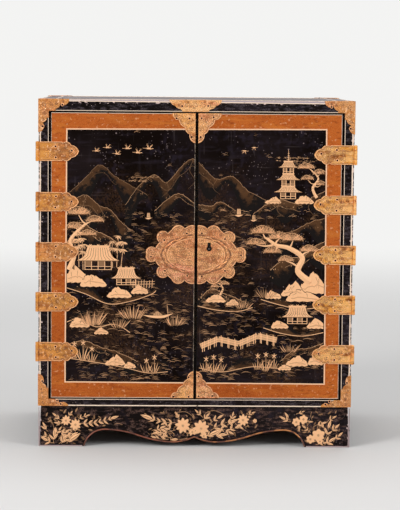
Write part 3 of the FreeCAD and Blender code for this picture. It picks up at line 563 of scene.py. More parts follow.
def bow(start, via, end, steps=7):
    """Points of the arc through three points, without the first."""
    (ax, ay), (bx, by), (cx, cy) = start, via, end
    twice_area = 2 * (ax * (by - cy) + bx * (cy - ay) + cx * (ay - by))
    a, b, c = (x * x + y * y for x, y in (start, via, end))
    middle = Vector(((a * (by - cy) + b * (cy - ay) + c * (ay - by)) / twice_area,
                     (a * (cx - bx) + b * (ax - cx) + c * (bx - ax)) / twice_area))
    first, half, last = (math.atan2(y - middle.y, x - middle.x) for x, y in (start, via, end))
    turn = (last - first) % math.tau
    if (half - first) % math.tau > turn:
        turn -= math.tau
    radius = math.hypot(ax - middle.x, ay - middle.y)
    return [(middle.x + radius * math.cos(first + turn * i / steps),
             middle.y + radius * math.sin(first + turn * i / steps)) for i in range(1, steps + 1)]


def arch_line(half_length, foot, shoulder, reach):
    """The edge of an apron's arch from its middle cusp to the foot, then mirrored."""
    crown, pendant, cusp = 25.0, 6.6, 14.5
    inner = half_length - foot
    fall, half_way = (inner - shoulder + reach) / 2, (crown + pendant) / 2
    line = [(0, cusp)]
    for via, end in (((reach / 2, pendant + (cusp - pendant) * 0.25), (reach, pendant)),
                     (((reach + fall) / 2, pendant + (half_way - pendant) * 0.3), (fall, half_way)),
                     (((fall + inner - shoulder) / 2, half_way + (crown - half_way) * 0.7),
                      (inner - shoulder, crown)),
                     ((inner - shoulder * 0.3, crown * 0.7), (inner, 0.9))):
        line += bow(line[-1], via, end)
    return [(-x, z) for x, z in line[:0:-1]] + line


def bead_finish():
    """Red-brown lacquer, more golden towards the right."""
    finish = Finish("bead_lacquer", Specular_IOR_Level=0.4, Roughness=0.4)
    worn = finish.noise(90, 3).rise(0.42, 0.62)
    golden = finish.axis("X").rise(-0.10, 0.16)
    rim = golden.blend((0.26, 0.075, 0.040), (0.60, 0.235, 0.075))
    return finish.feed(Base_Color=worn.blend(rim, (0.12, 0.038, 0.022)))


bead = bead_finish()
lean = Matrix.Identity(4)
lean[1][2] = FLARE / CARCASS_FOOT
LONG_ARCH, SHORT_ARCH = (half_wide, 67, 34, 33), (half_deep, 58, 28, 16)
ONTO_FRONT_APRON = moved(y=FRONT + FOOT_OUT) @ lean
APRONS = {
    "front": (ONTO_FRONT_APRON, LONG_ARCH),
    "back": (swung(180) @ moved(y=-BACK) @ moved(y=FOOT_OUT) @ lean, LONG_ARCH),
    "left": (moved(x=-half_wide, y=centre_y) @ swung(-90) @ moved(y=FOOT_OUT) @ lean, SHORT_ARCH),
    "right": (moved(x=half_wide, y=centre_y) @ swung(90) @ moved(y=FOOT_OUT) @ lean, SHORT_ARCH),
}
for name, (onto, sizes) in APRONS.items():
    edge = [onto @ (Vector((x, 0.2, z + 0.35)) * MM) for x, z in arch_line(*sizes)]
    moulding = tree_mesh(f"stand_{name}_bead", path_object(f"stand_{name}_bead", [edge]), bead,
                         bead_along, Bead_Radius=1.1 * MM)
    settled(moulding, "cabinet")


def blade(points, Width, Bend, Thickness, Fullness, Vein, Outline):
    """A slim closed shape with pointed ends at every seed: a leaf, petal, reed or wavelet. It
    runs along its seed's turn and is as long as the seed's length. Vein and Outline say how
    strongly the line along its middle or round its edge is cut."""
    ball = points.node("GeometryNodeMeshUVSphere", {}, {"Segments": 4, "Rings": 8, "Radius": 1})
    place = points.node("GeometryNodeInputPosition")
    across, through, along = (place.node("ShaderNodeSeparateXYZ", {}, {"Vector": place}, out=axis)
                              for axis in "XYZ")
    swell = (1 - along * along).power(Fullness) * (1 - along * 0.22)
    share = across.size() / (1 - along * along).power(0.5).most(0.01)
    line = (Vein * (1 - share)).most(Outline * share)
    ball = points.node("GeometryNodeStoreNamedAttribute", {"data_type": "FLOAT", "domain": "POINT"},
                       {"Geometry": ball, "Name": "line", "Value": line})
    bent = place.node("ShaderNodeCombineXYZ", {}, {
        "X": ((along + 1) * 0.5).power(1.15), "Y": through * Thickness * -1,
        "Z": across * Width * swell + Bend * (1 - along * along)})
    leaf = points.node("GeometryNodeSetPosition", {}, {"Geometry": ball, "Position": bent})

    def seed(name):
        return points.node("GeometryNodeInputNamedAttribute", {"data_type": "FLOAT"},
                           {"Name": name}, out="Attribute")
    turned = seed("turn").node("ShaderNodeCombineXYZ", {}, {"Y": seed("turn") * -1})
    turned = turned.node("FunctionNodeEulerToRotation", {}, {"Euler": turned})
    return points.node("GeometryNodeInstanceOnPoints", {}, {
        "Points": points, "Instance": leaf, "Rotation": turned, "Scale": seed("length")})


def seed_object(name, seeds):
    """Loose points with their turn, length and tone. A seed is (x, z, lift, turn, length, tone)
    in millimetres and degrees."""
    mesh = bpy.data.meshes.new(name)
    mesh.from_pydata([Vector((x, -lift, z)) * MM for x, z, lift, *_ in seeds], [], [])
    for index, (label, unit) in enumerate((("turn", math.pi / 180), ("length", MM), ("tone", 1))):
        values = mesh.attributes.new(label, "FLOAT", "POINT")
        values.data.foreach_set("value", [seed[3 + index] * unit for seed in seeds])
    return bpy.data.objects.new(name, mesh)


def strewn(name, seeds, body, material, onto, width, bend=0.0, thickness=0.04, fullness=0.35,
           vein=0.0, outline=0.0):
    """One mesh with a blade at every seed; width, bend and thickness are shares of its length."""
    piece = tree_mesh(name, seed_object(name, seeds), material, blade, Width=width / 2, Bend=bend,
                      Thickness=thickness, Fullness=fullness, Vein=vein, Outline=outline)
    piece.data.transform(onto)
    return settled(piece, body)


def tip_of(x, z, turn, length):
    """Where a blade that starts here ends."""
    return x + length * math.cos(math.radians(turn)), z + length * math.sin(math.radians(turn))


class Spray:
    """Stems, leaves and flowers for one face. They are kept inside its edges."""

    def __init__(self, inside):
        self.inside, self.stems = inside, Inlay()
        self.leaves, self.petals, self.round_petals = [], [], []

    def seed(self, kind, x, z, lift, turn, length, tone):
        """One more blade, if both its ends are inside."""
        if self.inside(x, z) and self.inside(*tip_of(x, z, turn, length)):
            kind.append((x, z, lift, turn, length, tone))

    def twig(self, start, end, sag, count, length, tip=10):
        """A stem with leaves in pairs and one at its tip."""
        tone, narrow, broad = 0.95, 30, 50
        (x0, z0), (x1, z1) = start, end
        run = math.hypot(x1 - x0, z1 - z0)
        normal = (-(z1 - z0) / run, (x1 - x0) / run)

        def at(t):
            drop = sag * 4 * t * (1 - t)
            return x0 + (x1 - x0) * t + normal[0] * drop, z0 + (z1 - z0) * t + normal[1] * drop
        line = [spot for spot in (at(t / 10) for t in range(11)) if self.inside(*spot)]
        if len(line) > 1:
            self.stems.stroke(line, 0.6, 0.15, tone * 0.7, taper=0.6)
        heading = math.degrees(math.atan2(z1 - z0, x1 - x0))
        for index in range(count):
            t = (index + 0.6) / count
            (x, z), (nx, nz) = at(t), at(min(t + 0.02, 1.02))
            heading = math.degrees(math.atan2(nz - z, nx - x))
            for side in (-1, 1):
                self.seed(self.leaves, x, z, 0.2, heading + side * random.uniform(narrow, broad),
                          length * random.uniform(0.8, 1.2) * (1.1 - 0.3 * t), tone)
        self.seed(self.leaves, *at(1), 0.2, heading, tip, tone)

    def flower(self, x, z, radius, count=9, tone=1.0, lift=0.3, plump=False):
        """A flower seen from above: an outer and an inner ring of petals."""
        turn = random.uniform(0, 360)
        for ring, share in enumerate((1, 0.60, 0.26)):
            for index in range(count):
                self.seed(self.round_petals if plump else self.petals, x, z, lift + 0.14 * ring,
                          turn + (index + ring / 2) * 360 / count,
                          radius * share * random.uniform(0.92, 1.08), tone - (0, 0.10, 0.45)[ring])

    def laid(self, name, body, onto):
        self.stems.laid(f"{name}_stems", body, picture_gold, onto)
        for kind, seeds, width in (("leaves", self.leaves, 0.30), ("petals", self.petals, 0.62),
                                   ("blossoms", self.round_petals, 1.05)):
            if seeds:
                leafy = kind == "leaves"
                strewn(f"{name}_{kind}", seeds, body, picture_gold, onto, width,
                       fullness=0.50 if leafy else 0.05, vein=leafy * 1.0, outline=1.0 - leafy)


picture_gold = worn_gold("picture_gold", (1.0, 0.555, 0.285), (0.085, 0.035, 0.012), 0.0)
ARCH = arch_line(*LONG_ARCH)


def on_apron(x, z):
    """Whether a spot is on the front apron's face, between its arch and its upper edge."""
    under = 0
    for (x0, z0), (x1, z1) in zip(ARCH, ARCH[1:]):
        if min(x0, x1) <= x <= max(x0, x1):
            under = max(under, z0, z1)
    return abs(x) < half_wide - 3 and under + 2 < z < CARCASS_FOOT - 2.5


random.seed(11)
stand_spray = Spray(on_apron)
for start, end, sag, count, length, tip in (
        ((-168, 34), (-124, 41), -2, 6, 8.5, 13), ((-194, 38), (-203, 44), 1, 1, 8, 9),
        ((-195, 33), (-200, 34), 0, 1, 6, 8), ((-186, 42), (-183, 48), 1, 1, 6, 6),
        ((-197, 23), (-176, 25), -1, 4, 4.5, 5), ((-208, 5), (-216, 8), 1, 1, 10, 12),
        ((-207, 4), (-207, 14), 1, 1, 12, 14), ((-200, 4), (-194, 9), -1, 1, 10, 11),
        ((-188, 4), (-184, 8), 1, 1, 8, 20), ((-28, 36), (-62, 41), 2, 4, 9, 19),
        ((-28, 25), (-50, 21), 1, 1, 12, 13), ((-34, 14), (-52, 20), 2, 2, 9, 10),
        ((-10, 13), (-24, 11), 1, 1, 9, 12), ((-22, 42), (-24, 45), 0, 1, 6, 9),
        ((13, 38), (17, 44), 1, 1, 9, 9), ((24, 24), (54, 38), 2, 3, 10, 12),
        ((26, 17), (36, 18), 1, 1, 12, 14), ((18, 14), (22, 17), 1, 1, 9, 19),
        ((48, 32), (56, 45), -2, 2, 8, 8), ((143, 38), (135, 41), 1, 1, 9, 11),
        ((142, 40), (139, 44), 1, 0, 9, 10), ((155, 34), (155, 31), 0, 1, 5, 8),
        ((166, 38), (168, 38), 0, 0, 7, 8), ((190, 8), (198, 28), -2, 1, 11, 14),
        ((193, 3), (199, 8), 1, 1, 11, 13), ((192, 26), (191, 29), 0, 0, 9, 10),
        ((-216, 22), (-220, 28), 1, 1, 8, 9), ((-214, 13), (-221, 16), 1, 1, 8, 8),
        ((-200, 10), (-191, 19), 1, 1, 9, 10), ((-196, 4), (-182, 15), 1, 2, 9, 12),
        ((-205, 14), (-200, 23), 1, 1, 8, 8), ((-190, 24), (-184, 16), 1, 1, 7, 8),
        ((-172, 39), (-160, 45), 1, 2, 6, 7), ((-60, 22), (-51, 27), 1, 1, 8, 10),
        ((-38, 11), (-56, 13), 1, 2, 8, 9), ((-30, 19), (-40, 31), 1, 1, 9, 9),
        ((22, 33), (34, 42), 1, 1, 9, 11), ((34, 28), (50, 23), 1, 2, 8, 10),
        ((44, 20), (60, 28), 1, 1, 9, 11), ((60, 35), (66, 31), 0, 1, 7, 8),
        ((76, 47), (84, 50), 0, 1, 6, 7), ((12, 44), (6, 50), 0, 1, 7, 8),
        ((176, 30), (188, 35), 1, 1, 8, 9), ((201, 20), (208, 28), 1, 1, 9, 10),
        ((206, 8), (213, 16), 1, 1, 9, 10), ((196, 37), (204, 43), 1, 1, 7, 8),
        ((150, 49), (158, 52), 0, 1, 6, 6), ((172, 22), (165, 28), 0, 1, 7, 8),
        ((180, 4), (190, 6), 0, 1, 8, 9)):
    stand_spray.twig(start, end, sag, count, length, tip)
for line in (((-216, 40), (-211, 37), (-208, 30), (-207, 20)),
             ((-30, 50), (-14, 52), (-4, 46), (-1, 40)), ((16, 50), (28, 54), (40, 50), (46, 46)),
             ((40, 19), (50, 18), (58, 18)), ((60, 30), (70, 27), (80, 22)),
             ((173, 53), (172, 46), (174, 41)), ((182, 27), (183, 33), (184, 38)),
             ((-46, 26), (-38, 20), (-32, 12)), ((-118, 33), (-112, 34), (-106, 32))):
    stand_spray.stems.stroke(curved(line, 4), 0.55, 0.14, 0.6, taper=0.5)
for middle, span, count in ((-198, 24, 34), (-152, 26, 20), (-20, 52, 80), (74, 16, 16),
                            (182, 34, 50)):
    for _ in range(count):
        stand_spray.seed(stand_spray.leaves, middle + random.uniform(-span, span),
                         random.uniform(4, 54), 0.12,
                         random.choice((20, 70, 110, 160, 200, 340)) + random.uniform(-20, 20),
                         random.uniform(4, 8), random.uniform(0.30, 0.55))
for x, z, radius in ((-189.7, 38, 7.5), (-175.6, 32, 8.5), (-17, 31.3, 11.5), (10, 27, 12.5),
                     (-3, 22, 6), (14, 16, 6), (71.8, 40, 8.5)):
    stand_spray.flower(x, z, radius)
for x, z, radius in ((150.7, 37.6, 6.8), (161.2, 41.4, 6.8), (183.6, 17.8, 10), (171.8, 12, 7),
                     (186, 9, 5), (89.5, 38.7, 3.2), (81, 45, 1.8)):
    stand_spray.flower(x, z, radius, 6, plump=True)
stand_spray.laid("stand_front", "cabinet", ONTO_FRONT_APRON)

# Handling has rubbed the aprons' ends and feet through to a pale ground
bare_ground = worn_gold("bare_ground", (0.55, 0.42, 0.41), (0.20, 0.13, 0.13), 0.10)
for name, (onto, sizes) in APRONS.items():
    rubbed = Inlay()
    for hand in (-1, 1):
        edge = hand * (sizes[0] - 0.7)
        rubbed.stroke(brushed((edge, 0.6), (edge, 58)), 1.3, 0.10, 0.8, fade=0.25)
        rubbed.stroke(brushed((edge - hand * 1.0, 1), (edge - hand * 1.0, 30), 0.6), 2.2, 0.08, 0.6,
                      fade=0.45)
        rubbed.stroke(brushed((edge, 0.9), (edge - hand * (sizes[1] - 3), 0.9)), 1.5, 0.09, 0.7,
                      fade=0.35)
    rubbed.laid(f"stand_{name}_rubbed", "cabinet", bare_ground, onto)

# ----------------------------------------------------------------------
# Doors
# Flat boards in black lacquer. A sprinkled band of orange-gold flakes under clear brown lacquer
# runs round three sides of each front, and a pale gold line divides it from the picture.
# ----------------------------------------------------------------------
DOOR_INNER, DOOR_OUTER, DOOR_LOW, DOOR_HIGH, DOOR_BACK = 2.2, 213.3, 73, 492, -134.15
BAND_SIDE, BAND_TOP, BAND_BOTTOM, MARGIN = 23.2, 23.3, 22.4, 1.9
FIELD_OUTER, FIELD_HIGH, FIELD_LOW = (
    DOOR_OUTER - BAND_SIDE, DOOR_HIGH - BAND_TOP, DOOR_LOW + BAND_BOTTOM)
SIDES = (("left", -1), ("right", 1))
SIDE_TILT, TOP_TILT, FOOT_TILT, DOOR_MIDDLE = 0.0050, 0.0053, -0.0038, 285


def sprinkled(finish):
    """Flakes of gold in clear brown lacquer."""
    clouds = finish.noise(30, 3).rise(0.34, 0.66) * 0.6 + finish.axis("Z").rise(0.05, 0.30) * 0.35
    clouds = clouds + finish.axis("X").rise(0.08, 0.20) * 0.45
    colour = clouds.blend((0.340, 0.052, 0.007), (0.500, 0.104, 0.016))
    colour = (finish.noise(1500, 1).rise(0.42, 0.64) * 0.36).blend(colour, (0.70, 0.27, 0.065))
    colour = (finish.noise(1100, 1).rise(0.55, 0.68) * 0.50).blend(colour, (0.14, 0.026, 0.005))
    streaks = finish.noise(75, 5, finish.stretched((0.30, 1, 1.8))).rise(0.50, 0.68)
    colour = (streaks * 0.45).blend(colour, (0.62, 0.195, 0.034))
    blotches = finish.noise(170, 4, finish.stretched((0.8, 1, 1.9))).rise(0.54, 0.68)
    colour = (blotches * 0.48).blend(colour, (0.19, 0.036, 0.008))
    worn = finish.noise(210, 3).rise(0.61, 0.69)
    return (worn * 0.6).blend(colour, (0.76, 0.37, 0.18))


def door_lacquer():
    """Black within the band of flakes, dusted with brown below the far shore. The band's edges
    tilt a little, as they were masked by hand."""
    finish = Finish("door_lacquer", Specular_IOR_Level=0.035)
    x, y, z = (finish.axis(name) for name in "XYZ")
    edge = 0.2 * MM
    side = x.size() + (z - DOOR_MIDDLE * MM) * SIDE_TILT
    top, foot = z - x * TOP_TILT, z - x * FOOT_TILT
    band = side.rise(FIELD_OUTER * MM - edge, FIELD_OUTER * MM + edge)
    band = band.most(top.rise(FIELD_HIGH * MM - edge, FIELD_HIGH * MM + edge))
    band = band.most(foot.rise(FIELD_LOW * MM + edge, FIELD_LOW * MM - edge))
    band = band * x.size().rise((DOOR_OUTER - MARGIN) * MM + edge,
                                (DOOR_OUTER - MARGIN) * MM - edge)
    band = band * z.rise((DOOR_HIGH - 0.9) * MM + edge, (DOOR_HIGH - 0.9) * MM - edge)
    band = band * y.rise((FRONT + 0.7) * MM, (FRONT + 0.4) * MM)
    black_colour, black_roughness = aged_black(finish)
    dusted = finish.noise(13, 4, finish.stretched((1, 1, 1.5))).rise(0.44, 0.66)
    dusted = dusted * finish.noise(420, 2).rise(0.36, 0.62) * z.rise(0.44, 0.34)
    colour = band.blend((dusted * 0.75).blend(black_colour, (0.060, 0.028, 0.014)),
                        sprinkled(finish))
    return finish.feed(Base_Color=colour, Roughness=black_roughness * (1 - band) + band * 0.42,
                       Normal=finish.bump(finish.noise(48, 2), 0.06, 0.001))


dress(door_lacquer(), "door_left_panel", "door_right_panel")
random.seed(7)
door_line = worn_gold("door_line_gold", (0.98, 0.60, 0.37), (0.36, 0.18, 0.09), 0.0)
ONTO_FRONT = moved(y=FRONT)
ONTO_DOOR_BACK = moved(y=DOOR_BACK) @ swung(180)
WORN_UPRIGHTS = {"left": (0.55, 0.60), "right": (0.82, 0.50)}
for name, hand in SIDES:
    lines = Inlay()
    corner, foot = [(hand * (FIELD_OUTER - (z - DOOR_MIDDLE) * SIDE_TILT),
                     z + hand * FIELD_OUTER * tilt)
                    for z, tilt in ((FIELD_HIGH, TOP_TILT), (FIELD_LOW, FOOT_TILT))]
    lines.stroke(brushed((hand * DOOR_INNER, FIELD_HIGH), corner), 1.8, 0.14, 1)
    lines.stroke(brushed((corner[0], corner[1] + 0.9), (foot[0], foot[1] - 0.9)), 1.9, 0.18, 1)
    lines.stroke(brushed(foot, (hand * DOOR_INNER, FIELD_LOW)), 1.8, 0.14, 1)
    lines.laid(f"door_{name}_lines", f"{name}_door", door_line, ONTO_FRONT)
    low, high = sorted((hand * DOOR_INNER, hand * (DOOR_OUTER - MARGIN + 0.4)))
    lines = Inlay()
    framed(lines, low, high, DOOR_LOW, DOOR_HIGH - 0.5, 0.7, 0.7, 0.10, WORN_UPRIGHTS[name])
    lines.laid(f"door_{name}_edge_lines", f"{name}_door", line_gold, ONTO_FRONT)
    low, high = sorted((-hand * DOOR_INNER, -hand * DOOR_OUTER))
    lines = Inlay()
    framed(lines, low + 9, high - 9, DOOR_LOW + 9, DOOR_HIGH - 9, 1.6, 0.8)
    lines.laid(f"door_{name}_back_lines", f"{name}_door", line_gold, ONTO_DOOR_BACK)

# ----------------------------------------------------------------------
# Picture on the doors
# A lakeside in sprinkled and brushed gold, which goes on from one door to the other. Rocks, roofs
# and trunks stand up a little from the black, and far hills are only dusted on.
# ----------------------------------------------------------------------
flat = Inlay()
needles, leaflets, swords, ripples, specks = [], [], [], [], []


def hill(points, depth, lift, tone=0.25, start=0.08, rim=0.35):
    """A hill dusted brown below its ridge, with a brushed outline and scrub along the ridge."""
    ridge = curved([(x + random.uniform(-1, 1), z + random.uniform(-1.5, 1.5)) for x, z in points],
                   6)
    flat.slope(ridge, depth, lift, tone * 0.35, 0.10 + start)
    flat.stroke([(x, z + 0.5 * math.sin(x * 0.9) + 0.4 * math.sin(x * 2.3)) for x, z in ridge], 0.5,
                lift + 0.04, tone + rim * 0.6, fade=0.2)
    inside = ridge[len(ridge) // 4:-len(ridge) // 3]
    flat.stroke([(x, z - depth * 0.3 - 1.5 * math.sin(x * 0.3)) for x, z in inside], 0.4,
                lift + 0.03, tone + rim * 0.2, fade=0.35)
    for x, z in ridge[::2]:
        for _ in range(3):
            specks.append((x + random.uniform(-4, 4), z - random.uniform(-1, depth * 0.35),
                           lift + 0.07, random.uniform(50, 130), random.uniform(1.0, 2.4),
                           tone + random.uniform(-0.1, 0.2)))


def fold(points, lift, width=0.6):
    """A brushed fold inside a hill."""
    flat.stroke(curved(points, 4), width, lift, 0.35, taper=0.6)


def rock(x, z, wide, tall, lift=0.18):
    """A pale boulder: a craggy top, a scalloped foot, a bright ledge half way up and creases."""
    tone, seams = 0.95, 2

    def crags(share, count, low):
        """A crest that climbs and falls in uneven steps."""
        peak, line = random.uniform(0.35, 0.65), []
        for index in range(count + 1):
            t = index / count
            climb = min(t / peak, (1 - t) / (1 - peak)) ** 0.65
            height = tall * share * (low + (1 - low) * climb) * random.uniform(0.84, 1.06)
            spot = x + wide * (t - 0.5) + random.uniform(-0.02, 0.02) * wide
            line.append((spot, z + height))
            if 0 < index < count and index % 2:
                line.append((spot + 0.35 * wide / count, z + height * random.uniform(0.86, 0.95)))
        return line

    crest = crags(1.0, max(int(wide / 4), 6), 0.10)
    foot = [(x + wide * (0.46 - 0.92 * step / 8), z - (1.3 if step % 2 else 0.2))
            for step in range(9)]
    flat.patch(crest + foot, lift, tone)
    flat.stroke([(px, pz + 0.7) for px, pz in crest[1:-1]], 0.8, lift - 0.02, 0.1, fade=0.9)
    ledge = crags(random.uniform(0.34, 0.48), 6, 0.30)[1:-1]
    flat.stroke([(px, pz - 1.1) for px, pz in ledge], 1.6, lift + 0.04, tone - 0.32)
    flat.stroke(ledge, 0.7, lift + 0.08, 1.05)
    for _ in range(seams):
        sx, top = x + random.uniform(-0.28, 0.28) * wide, z + tall * random.uniform(0.55, 0.8)
        drift = random.uniform(-0.12, 0.12) * wide
        flat.stroke([(sx, top), (sx + drift, top - tall * 0.22),
                     (sx + drift * 0.4, top - tall * 0.45)], 0.5,
                    lift + 0.07, 0.1, taper=0.8, fade=0.5)
    for _ in range(int(wide / 5)):
        specks.append((x + random.uniform(-0.7, 0.7) * wide, z - random.uniform(0, 4), lift,
                       random.uniform(0, 180), random.uniform(1.0, 2.2), 0.5))


def roof(x, z, wide, tall, lift, peak):
    """A hipped roof with swept eaves, its ridge and the lines of its covering."""
    half, top = wide / 2, wide * peak / 2
    side = curved([(x + half, z), (x + half * 0.66, z + tall * 0.32), (x + top, z + tall)], 5)
    mirror = [(2 * x - px, pz) for px, pz in reversed(side)]
    flat.patch(side + mirror, lift, 0.98)
    flat.stroke([(x - top * 1.15, z + tall + 0.5), (x + top * 1.15, z + tall + 0.5)], 1.7,
                lift + 0.08, 1)
    flat.stroke([(x - half * 0.98, z - 0.2), (x + half * 0.98, z - 0.2)], 1.0, lift + 0.08, 0.35)
    for index in range(1, 10):
        t = index / 5 - 1
        flat.stroke([(x + top * t, z + tall * 0.9), (x + half * 0.62 * t, z + tall * 0.34),
                     (x + half * 0.92 * t, z + 1.2)], 0.45, lift + 0.07, 0.2, fade=0.35)


def walls(x, z, wide, tall, lift, bays=4):
    """Posts, rails and dark openings under a roof."""
    tone, half = 0.85, wide / bays * 0.42
    for index in range(bays + 1):
        px = x - wide / 2 + wide * index / bays
        flat.stroke([(px, z), (px, z + tall)], 1.0, lift, tone)
    for rise in (0.04, 0.34, 0.92):
        flat.stroke([(x - wide / 2, z + tall * rise), (x + wide / 2, z + tall * rise)], 0.8,
                    lift + 0.02, tone)
    for index in range(0, bays, 2):
        px = x - wide / 2 + wide * (index + 0.5) / bays
        flat.patch([(px - half, z + tall * 0.38), (px + half, z + tall * 0.38),
                    (px + half, z + tall * 0.88), (px - half, z + tall * 0.88)], lift - 0.03, 0.4)


def cottage(x, z, wide, lift=0.24):
    """A thatched farmhouse on short posts."""
    walls(x, z, wide * 0.62, wide * 0.24, lift - 0.04)
    roof(x, z + wide * 0.22, wide, wide * 0.34, lift, peak=0.5)
    for side in (-1, 0, 1):
        rx, rz = x + side * wide * 0.18, z + wide * 0.57
        flat.stroke([(rx - 1.6, rz + 2.4), (rx + 1.6, rz - 1.6)], 0.9, lift + 0.12, 0.8)
        flat.stroke([(rx + 1.6, rz + 2.4), (rx - 1.6, rz - 1.6)], 0.9, lift + 0.12, 0.8)


def tower(x, z, wide, storeys):
    """A slim tower of several roofs with a ringed spire."""
    lift = 0.22
    for index in range(storeys):
        span = wide * (1 - index * 0.16)
        walls(x, z, span * 0.52, wide * 0.26, lift - 0.03, bays=3)
        z += wide * 0.24
        roof(x, z, span, wide * 0.20, lift + index * 0.01, peak=0.42)
        z += wide * 0.19
    flat.stroke([(x, z), (x, z + wide * 0.42)], 0.9, lift, 0.95, taper=0.5)
    for index in range(4):
        ring = z + wide * (0.08 + 0.07 * index)
        flat.stroke([(x - 1.7 + index * 0.25, ring), (x + 1.7 - index * 0.25, ring)], 0.7,
                    lift + 0.05, 0.95)


def pad_of_needles(x, z, wide, tall):
    """One flat-bottomed cushion of pine needles."""
    lift, tone = 0.26, 0.55
    outline = curved([(x - wide / 2, z), (x - wide * 0.36, z + tall * 0.62),
                      (x - wide * 0.08, z + tall), (x + wide * 0.2, z + tall * 0.82),
                      (x + wide * 0.42, z + tall * 0.5), (x + wide / 2, z)], 3)
    flat.patch(outline, lift, 0.12)
    flat.stroke(outline, 0.6, lift + 0.05, tone + 0.25)
    tufts = max(int(wide / 4.2), 3)
    for index in range(tufts):
        tx = x + wide * ((index + 0.5) / tufts - 0.5) * 0.86
        tz = z + tall * 0.12
        reach = tall * (0.45 + 0.45 * math.sin(math.pi * (index + 0.5) / tufts))
        for spoke in range(9):
            needles.append((tx, tz, lift + 0.07, 18 + spoke * 18 + random.uniform(-5, 5),
                            reach * random.uniform(0.85, 1.15) + 1.2,
                            tone + random.uniform(-0.1, 0.35)))


def pine(trunk, width, pads):
    """An old pine: a bent, tapering trunk, boughs to its cushions, and scaly bark."""
    lift, tone = 0.22, 0.97
    line = curved(trunk, 7)
    flat.stroke(line, width, lift, tone, taper=0.62)
    for index in range(3, len(line) - 3, 2):
        x, z = line[index]
        side = random.choice((-1, 1))
        flat.stroke([(x - side * width * 0.16, z - 0.8), (x + side * width * 0.05, z + 0.2),
                     (x + side * width * 0.2, z - 0.6)], 0.6, lift + 0.3, 0.2, fade=0.7)
    for x, z, wide, tall in pads:
        near = min(line[2:], key=lambda spot: math.hypot(spot[0] - x, spot[1] - z - 3)
                   + max(spot[1] - z, 0) * 2)
        bend = ((near[0] + x) / 2, (near[1] + z) / 2 + (2 if random.random() < 0.5 else -2))
        flat.stroke(curved([near, bend, (x, z + 1)], 4), width * 0.30, lift - 0.02, tone - 0.1,
                    taper=0.6)
        pad_of_needles(x, z, wide, tall)


def bamboo(x, z, tall, lean):
    """A cane with its joints, and bunches of drooping leaves."""
    lift, joints = 0.16, max(int(tall / 9), 3)

    def at(share):
        return x + lean * tall * share, z + tall * share

    for index in range(joints):
        low, high = index / joints, (index + 0.93) / joints
        flat.stroke([at(low), at(high)], 1.1 - 0.5 * low, lift, 0.65)
        if low > 0.35:
            for heading in (242, 218, 192, -62, -38, -12):
                leaflets.append((*at(high), lift + 0.08, heading + random.uniform(-12, 12),
                                 random.uniform(5, 8.5), random.uniform(0.45, 0.9)))


def reeds(x, z, spread, count, tall):
    """A tussock of long blades."""
    lift, tone = 0.22, 0.6
    for index in range(count):
        t = (index + 0.5) / count * 2 - 1
        needles.append((x + t * spread * 0.35, z + random.uniform(-1, 1), lift,
                        90 - t * 42 + random.uniform(-6, 6), tall * random.uniform(0.65, 1.1),
                        tone + random.uniform(-0.2, 0.3)))


def iris(x, z, tall):
    """Sword leaves round a stalk with one flower."""
    lift = 0.26
    for turn in (-24, -12, 4, 15, 27):
        swords.append((x + turn * 0.11, z, lift, 90 - turn, tall * random.uniform(0.5, 0.85),
                       random.uniform(0.6, 0.95)))
    top = z + tall
    flat.stroke([(x, z), (x + 0.5, top)], 0.6, lift, 0.6)
    for turn in (90, 32, 148, -48, 228):
        leaflets.append((x + 0.5, top, lift + 0.06, turn, 4.6, 0.98))


def places(x, z, size, turn=0):
    """A function for the places on a thing of this size: how far along it and how far up."""
    c, s = math.cos(math.radians(turn)), math.sin(math.radians(turn))
    return lambda along, up: (x + (along * c - up * s) * size, z + (along * s + up * c) * size)


def crane(x, z, size, turn):
    """A crane in flight: body, neck, trailing legs and two lifted wings."""
    at, lift = places(x, z, size, turn), 0.2
    flat.stroke([at(-0.25, 0), at(0.05, 0.02), at(0.3, 0)], size * 0.20, lift, 0.98, taper=0.4)
    flat.stroke([at(0.25, 0), at(0.55, 0.10)], size * 0.07, lift, 0.98)
    flat.stroke([at(-0.25, 0), at(-0.7, -0.04)], size * 0.05, lift, 0.7)
    for wing in (128, 116, 62, 50):
        swords.append((*at(0.05, 0), lift + 0.05, turn + wing, size * 0.72, 0.98))


def sail(x, z, size):
    """A small boat under a square sail."""
    at, lift = places(x, z, size), 0.2
    flat.patch(curved([at(-0.6, 0.10), at(0, -0.16), at(0.7, 0.16)], 4), lift, 0.9)
    flat.patch([at(-0.26, 0.2), at(0.34, 0.2), at(0.26, 1), at(-0.2, 1)], lift, 0.8)
    for seam in (-0.1, 0.06, 0.2):
        flat.stroke([at(seam, 0.22), at(seam * 0.8, 0.98)], 0.35, lift + 0.05, 0.1, fade=0.8)


def punt(x, z, size):
    """A moored punt with a mat roof."""
    at, lift = places(x, z, size), 0.24
    hull = curved([at(-0.55, 0.10), at(-0.2, 0), at(0.25, 0), at(0.6, 0.17)], 4)
    flat.patch(hull + [at(0.2, 0.085), at(-0.2, 0.08)], lift, 0.95)
    flat.patch(curved([at(-0.16, 0.09), at(0, 0.24), at(0.2, 0.1)], 4), lift + 0.04, 0.6)
    for hoop in (-0.052, 0.02, 0.092):
        flat.stroke([at(hoop, 0.1), at(hoop, 0.19)], 0.5, lift + 0.1, 0.1, fade=0.8)
    flat.stroke([at(0.42, -0.12), at(0.36, 0.46)], 0.6, lift + 0.1, 0.8)


